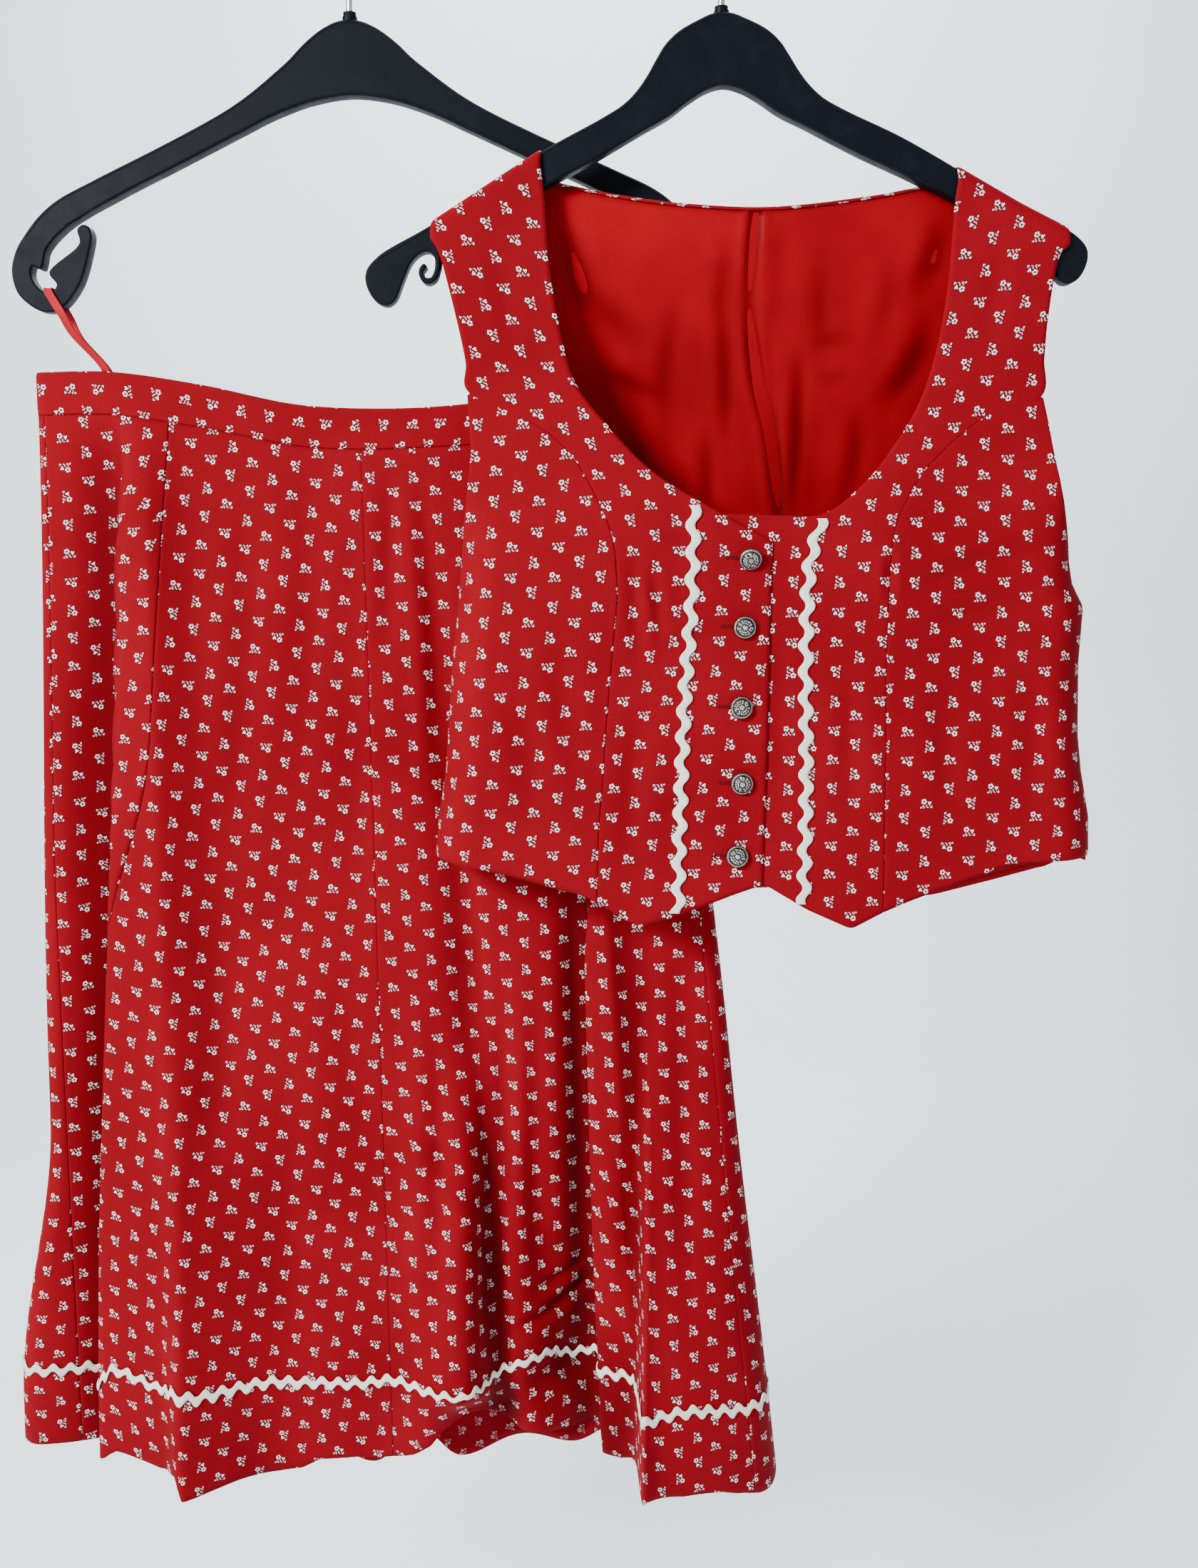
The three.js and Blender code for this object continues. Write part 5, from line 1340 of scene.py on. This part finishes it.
def makeVest():
    makeLining(makeBack())
    holes = []
    for number, place in enumerate(rowsOf(buttonPlaces), 1):
        makeButton(number, place["x"], place["z"], place["lean"])
        holes.append(makeButtonhole(number, place["x"], place["z"]))
    sewn = {"left": [makeVestBraid("left", leftCloth), *holes], "right": [makeVestBraid("right", rightCloth)]}
    shifts = {"left": ((2, 0), (9, 6)), "right": ((5, 11), (1, 3))}
    for which, rows in (("left", leftFront), ("right", rightFront)):
        centre, points = makeFront(which, "centre", rows, shifts[which][0])
        sidePanel, points = makeFront(which, "side", rows, shifts[which][1])


rail = {"radius": 20, "wire": 4}
hangerBead = {"radius": 0.6, "inset": 1.5, "sunk": 0.25, "step": 3.0}
hangerCollars = ((-8, 0.3, 4.0), (-6, -2.2, 4.6))      # round the wire: from and to over the neck, and radius
# half outlines: out from the middle and below the neck, along the top, round the end and back
hangerEdges = {
    "vest_hanger": table(
        "out drop",
        (0, 4), (6, 4.6), (13, 7.3), (26, 13.9), (34, 21), (39.5, 29), (44.5, 37), (50.5, 45), (59, 53),
        (73.5, 61.2), (106.6, 77.2), (178, 118.7), (210, 135.3), (217.9, 143.9), (218.2, 152), (213, 161.5),
        (206.3, 164.2), (201, 161), (195.5, 149.8), (190, 139.3), (184, 134.4), (179.3, 133.8), (176.4, 136.4),
        (176.3, 143.4), (179, 148.6), (182.3, 148.4), (183.2, 145), (180.9, 142.4), (182.7, 140.4), (186, 143.8),
        (185.4, 149), (181.5, 152.4), (176.3, 150.6), (173, 143.4), (170, 131), (113.4, 101.3), (79.5, 85.2),
        (48.5, 69), (32.6, 61), (20.8, 52.9), (10, 47), (0, 44.6)),
    "skirt_hanger": table(
        "out drop",
        (0, 5), (7, 5.8), (13.7, 8.4), (20, 12), (29, 19), (38, 27.5), (46.8, 34.5), (57.3, 42.5), (69, 50.5),
        (83, 58.5),
        (116, 74.4), (162.3, 95.2), (185.4, 106.3), (197.3, 115.3), (207.4, 126.7), (213.6, 136), (217.1, 148),
        (214.7, 160.8), (208.6, 167.8), (200, 172.7), (190.5, 172.4), (184.6, 168.7), (175, 156.6), (168.5, 139.8),
        (165.6, 127), (167.2, 122.4), (171, 121.1), (174.4, 124), (173.6, 132), (193.8, 149.4), (189.6, 156.6),
        (192, 160), (197, 161.1), (202.1, 157.1), (205.1, 150.2), (203.7, 145.3), (198.8, 147.3), (196.7, 143),
        (194.6, 136), (180.6, 122.4), (146.8, 104.6), (112.4, 88.9), (67.6, 68.2), (49.6, 60), (24.6, 51.7),
        (0, 48.4)),
}
beadEnds = {"vest_hanger": (12, 34), "skirt_hanger": (14, 39)}     # rows where the raised edges stop


def smoothLine(points, step, closed=False):
    # even points on a centripetal curve through the given ones
    points = np.asarray(points, float)
    ring = np.vstack([points[-1], points, points[:2]]) if closed else np.vstack(
        [2 * points[0] - points[1], points, 2 * points[-1] - points[-2]])
    knots = np.concatenate([[0], np.cumsum(np.linalg.norm(np.diff(ring, axis=0), axis=1) ** 0.5)])

    def between(low, high, a, b, t):
        return ((knots[high] - t) * a + (t - knots[low]) * b) / (knots[high] - knots[low])

    made = []
    for k in range(1, len(ring) - 2):
        count = max(round(np.linalg.norm(ring[k + 1] - ring[k]) / step), 1)
        t = mix(knots[k], knots[k + 1], np.arange(count) / count)[:, None]
        one, two, three = (between(n, n + 1, ring[n], ring[n + 1], t) for n in (k - 1, k, k + 1))
        first, second = between(k - 1, k + 1, one, two, t), between(k, k + 2, two, three, t)
        made.append(between(k, k + 1, first, second, t))
    return np.vstack(made if closed else [*made, points[-1:]])


def tubeMesh(mesh, points, radius, radii=None, sides=8):
    # a round bar along the points, added to the mesh being built
    curve = bpy.data.curves.new("bar", "CURVE")
    curve.dimensions = "3D"
    curve.bevel_depth = radius
    curve.bevel_resolution = sides // 2 - 1
    curve.use_fill_caps = True
    line = curve.splines.new("POLY")
    line.points.add(len(points) - 1)
    for k, place in enumerate(points):
        line.points[k].co = (*place, 1)
        line.points[k].radius = 1.0 if radii is None else float(radii[k])
    holder = bpy.data.objects.new("bar", curve)
    made = holder.to_mesh()
    mesh.from_mesh(made)
    holder.to_mesh_clear()
    bpy.data.objects.remove(holder)
    bpy.data.curves.remove(curve)


def makeHanger(name, size):
    edge = hangerEdges[name]
    half = np.stack([edge["out"], -edge["drop"]], axis=-1)
    outline = smoothLine(np.vstack([half, half[1:-1][::-1] * (-1, 1)]), 1.6, closed=True)
    # a filled flat curve gives the moulded plate with its rounded edges
    curve = bpy.data.curves.new(name, "CURVE")
    curve.dimensions, curve.fill_mode = "2D", "BOTH"
    curve.extrude, curve.bevel_depth = size["thickness"] / 2 - size["bevel"], size["bevel"]
    curve.offset, curve.bevel_resolution = -size["bevel"], 3
    line = curve.splines.new("POLY")
    line.points.add(len(outline) - 1)
    for point, (x, z) in zip(line.points, outline):
        point.co = (x, z, 0, 1)
    line.use_cyclic_u = True
    holder = bpy.data.objects.new(name, curve)
    mesh = bmesh.new()
    mesh.from_mesh(holder.to_mesh())
    holder.to_mesh_clear()
    bpy.data.objects.remove(holder)
    bmesh.ops.remove_doubles(mesh, verts=mesh.verts, dist=0.01)
    bmesh.ops.recalc_face_normals(mesh, faces=mesh.faces)
    bmesh.ops.rotate(mesh, verts=mesh.verts, cent=(0, 0, 0), matrix=Matrix.Rotation(math.pi / 2, 3, "X"))
    for low, high, radius in hangerCollars:
        tubeMesh(mesh, [(0, 0, low), (0, 0, high)], radius, sides=16)
    # raised beads along the upper and the lower edge of both faces
    last = beadEnds[name]
    for way in (-1, 1):
        for rows in (half[:last[0] + 1], half[last[1]:]):
            line = smoothLine(rows, hangerBead["step"])
            along = np.gradient(line, axis=0)
            inward = np.stack([along[:, 1], -along[:, 0]], axis=-1)
            inward /= np.linalg.norm(inward, axis=1, keepdims=True)
            line = line + inward * hangerBead["inset"]
            for side in (-1, 1):
                bead = [(side * x, way * (size["thickness"] / 2 - hangerBead["sunk"]), z) for x, z in line]
                tubeMesh(mesh, bead, hangerBead["radius"])
    for face in mesh.faces:
        face.smooth = abs(face.normal.y) < 0.999
    bmesh.ops.transform(mesh, verts=mesh.verts, matrix=Matrix.Scale(mm, 4) @ Matrix.Translation(
        (size["x"], size["y"], size["z"])) @ Matrix.Rotation(-math.radians(size["tilt"]), 4, "Y"))
    attach(finishPiece(f"{name}_moulded", mesh, plastic), "hanger_plastic", name)


def makeHook(name, size):
    # round the rail from the free end, then down a straight shank into the neck
    radius = rail["radius"] + rail["wire"] / 2
    way = math.copysign(1, size["y"])
    angles = (math.radians(a) for a in (200, 180, 150, 120, 90, 60, 30, 5))
    route = [(size["x"], way * radius * math.cos(a), radius * math.sin(a) - rail["radius"]) for a in angles]
    route += [(size["x"], size["y"] + way * 1.5, -rail["radius"] - 17), (size["x"], size["y"], size["z"] + 9),
              (size["x"], size["y"], size["z"] + 0.3)]
    line = smoothLine(route, 1.0)
    radii = np.ones(len(line))
    radii[:3] = (0.35, 0.75, 0.95)
    mesh = bmesh.new()
    tubeMesh(mesh, line, rail["wire"] / 2, radii, sides=16)
    for face in mesh.faces:
        face.smooth = len(face.verts) <= 4
    bmesh.ops.scale(mesh, vec=(mm, mm, mm), verts=mesh.verts)
    attach(finishPiece(f"{name}_wire", mesh, steel), "hook_steel", name)


for name, size in hangers.items():
    makeHanger(name, size)
    makeHook(f"{name}_hook", size)
print("hangers made")


# each hanging loop is a flat tape from inside the waistband over a notch of the hanger
loopTapeSize = {
    "width": 5.4, "wall": 1.0, "clear": 0.45, "step": 1.2, "notchOut": 195.3, "notchDrop": 160,
    "footLeft": -387, "footRight": -76, "footZ": -286, "bandRoom": 1.6,
}


def makeLoop(name, way):
    size, hanger = loopTapeSize, hangers["skirt_hanger"]
    turn = math.radians(hanger["tilt"])
    out, drop = way * size["notchOut"], size["notchDrop"]
    x = hanger["x"] + out * math.cos(turn) + drop * math.sin(turn)
    z = hanger["z"] + out * math.sin(turn) - drop * math.cos(turn)
    foot, footZ = size["footLeft" if way < 0 else "footRight"], size["footZ"]
    off, half, y, bevel = size["clear"] + size["wall"] / 2, hanger["thickness"] / 2, hanger["y"], hanger["bevel"]
    inBand = skirt["waistRadius"] - size["bandRoom"] - skirt["bandWall"] / 2 - size["wall"] / 2
    bandFront, bandBack = skirt["waistY"] - inBand, skirt["waistY"] + inBand
    overNotch = [(-half - off, -14), (-half - off, -6), (-half - off, -bevel - 0.6), (-half + 0.1, 0.4),
                 (-half + bevel, off), (0, off), (half - bevel, off), (half - 0.1, 0.4), (half + off, -bevel - 0.6),
                 (half + off, -6), (half + off, -15)]
    route = [(foot, bandFront, footZ), (foot - way, bandFront, footZ + 20), (mix(foot, x, 0.55), 15.5, z - 24)]
    route += [(mix(x, foot, -min(up, 0) / 46), y + across, z + up) for across, up in overNotch]
    route += [(mix(foot, x, 0.5), y + half + 4, z - 27), (foot - 2 * way, bandBack, footZ + 18),
              (foot - way, bandBack, footZ)]
    line = smoothLine(route, size["step"])
    along = np.gradient(line, axis=0)
    along /= np.linalg.norm(along, axis=1, keepdims=True)
    wide = np.array([1.0, 0, 0]) - along * along[:, :1]
    wide /= np.linalg.norm(wide, axis=1, keepdims=True)
    thick = np.cross(along, wide)
    across = np.linspace(-0.5, 0.5, 7)
    crown = 0.5 - 0.5 * (2 * across) ** 4
    points = (line[:, None, :] + wide[:, None, :] * (across * size["width"])[None, :, None]
              + thick[:, None, :] * (size["wall"] * crown)[None, :, None])
    piece = sheetPiece(f"{name}_tape", points, (loopTape, loopTape), size["wall"])
    return attach(piece, "loop_tape", name)


makeVest()
print("vest made")
makeSkirt()
print("skirt made")


studio = {
    "floorZ": -1.36, "floorNear": -3.0, "floorFar": 2.7, "wallTop": 2.4, "bend": 0.9, "wide": 7.0,
    "cameraPlace": (-0.0684, -0.9304, -0.3821), "cameraTurn": 81.0, "lens": 33.17,
}


def makeStage():
    mesh = bmesh.new()
    size = studio
    bend = [(size["floorFar"] - size["bend"] * (1 - math.sin(a)), size["floorZ"] + size["bend"] * (1 - math.cos(a)))
            for a in np.linspace(0, math.pi / 2, 14)]
    line = [(size["floorNear"], size["floorZ"]), *bend, (size["floorFar"], size["wallTop"])]
    verts = [mesh.verts.new((-size["wide"] / 2, y, z)) for y, z in line]
    edges = [mesh.edges.new(pair) for pair in zip(verts, verts[1:])]
    grown = bmesh.ops.extrude_edge_only(mesh, edges=edges)
    moved = [item for item in grown["geom"] if isinstance(item, bmesh.types.BMVert)]
    bmesh.ops.translate(mesh, verts=moved, vec=(size["wide"], 0, 0))
    bmesh.ops.recalc_face_normals(mesh, faces=mesh.faces)
    for face in mesh.faces:
        face.smooth = True
    material, tree, shader = newMaterial("paleSweep", Roughness=0.9, Specular_IOR_Level=0.2)
    cloud = noise(tree, objectPlace(tree), 2.0, 3.0)
    feed(tree, shader.inputs["Base Color"], mixColour(tree, cloud, (0.76, 0.81, 0.84, 1), (0.80, 0.85, 0.88, 1)))
    finishPiece("paleSweep", mesh, material)


# place, what it points at, width in metres, power in watts and colour
lamps = {
    "key": ((-2.0, -2.1, 0.8), (-0.1, 0, -0.5), 0.9, 205, (1.0, 0.99, 0.98)),
    "fill": ((1.5, -1.9, -0.1), (-0.1, 0, -0.5), 1.6, 12, (0.95, 0.97, 1.0)),
    "back": ((0.4, 1.5, 0.9), (-0.1, 0.1, -0.5), 1.2, 22, (1.0, 1.0, 1.0)),
    "backdrop": ((0.0, 0.9, 1.5), (0.0, 2.7, -0.3), 2.0, 120, (0.90, 0.97, 1.0)),
}


def addLight(name, place, target, size, power, colour):
    data = bpy.data.lights.new(name, "AREA")
    data.shape, data.size, data.energy, data.color = "DISK", size, power, colour
    light = bpy.data.objects.new(name, data)
    bpy.context.scene.collection.objects.link(light)
    light.location = place
    light.visible_camera = False
    light.rotation_euler = (Vector(target) - Vector(place)).to_track_quat("-Z", "Y").to_euler()


def makeWorld(colour, strength):
    world = bpy.data.worlds.new("paleRoom")
    world.use_nodes = True
    background = world.node_tree.nodes["Background"]
    background.inputs["Color"].default_value = colour
    background.inputs["Strength"].default_value = strength
    bpy.context.scene.world = world


def addCamera():
    data = bpy.data.cameras.new("camera")
    data.lens, data.sensor_width = studio["lens"], 36
    data.clip_start = 0.05
    camera = bpy.data.objects.new("camera", data)
    bpy.context.scene.collection.objects.link(camera)
    camera.location = studio["cameraPlace"]
    camera.rotation_euler = (math.radians(studio["cameraTurn"]), 0, 0)
    bpy.context.scene.camera = camera


makeStage()
for name, lamp in lamps.items():
    addLight(name, *lamp)
makeWorld((0.90, 0.95, 1.0, 1), 0.55)
addCamera()

bpy.context.view_layer.update()
print("scene ready")
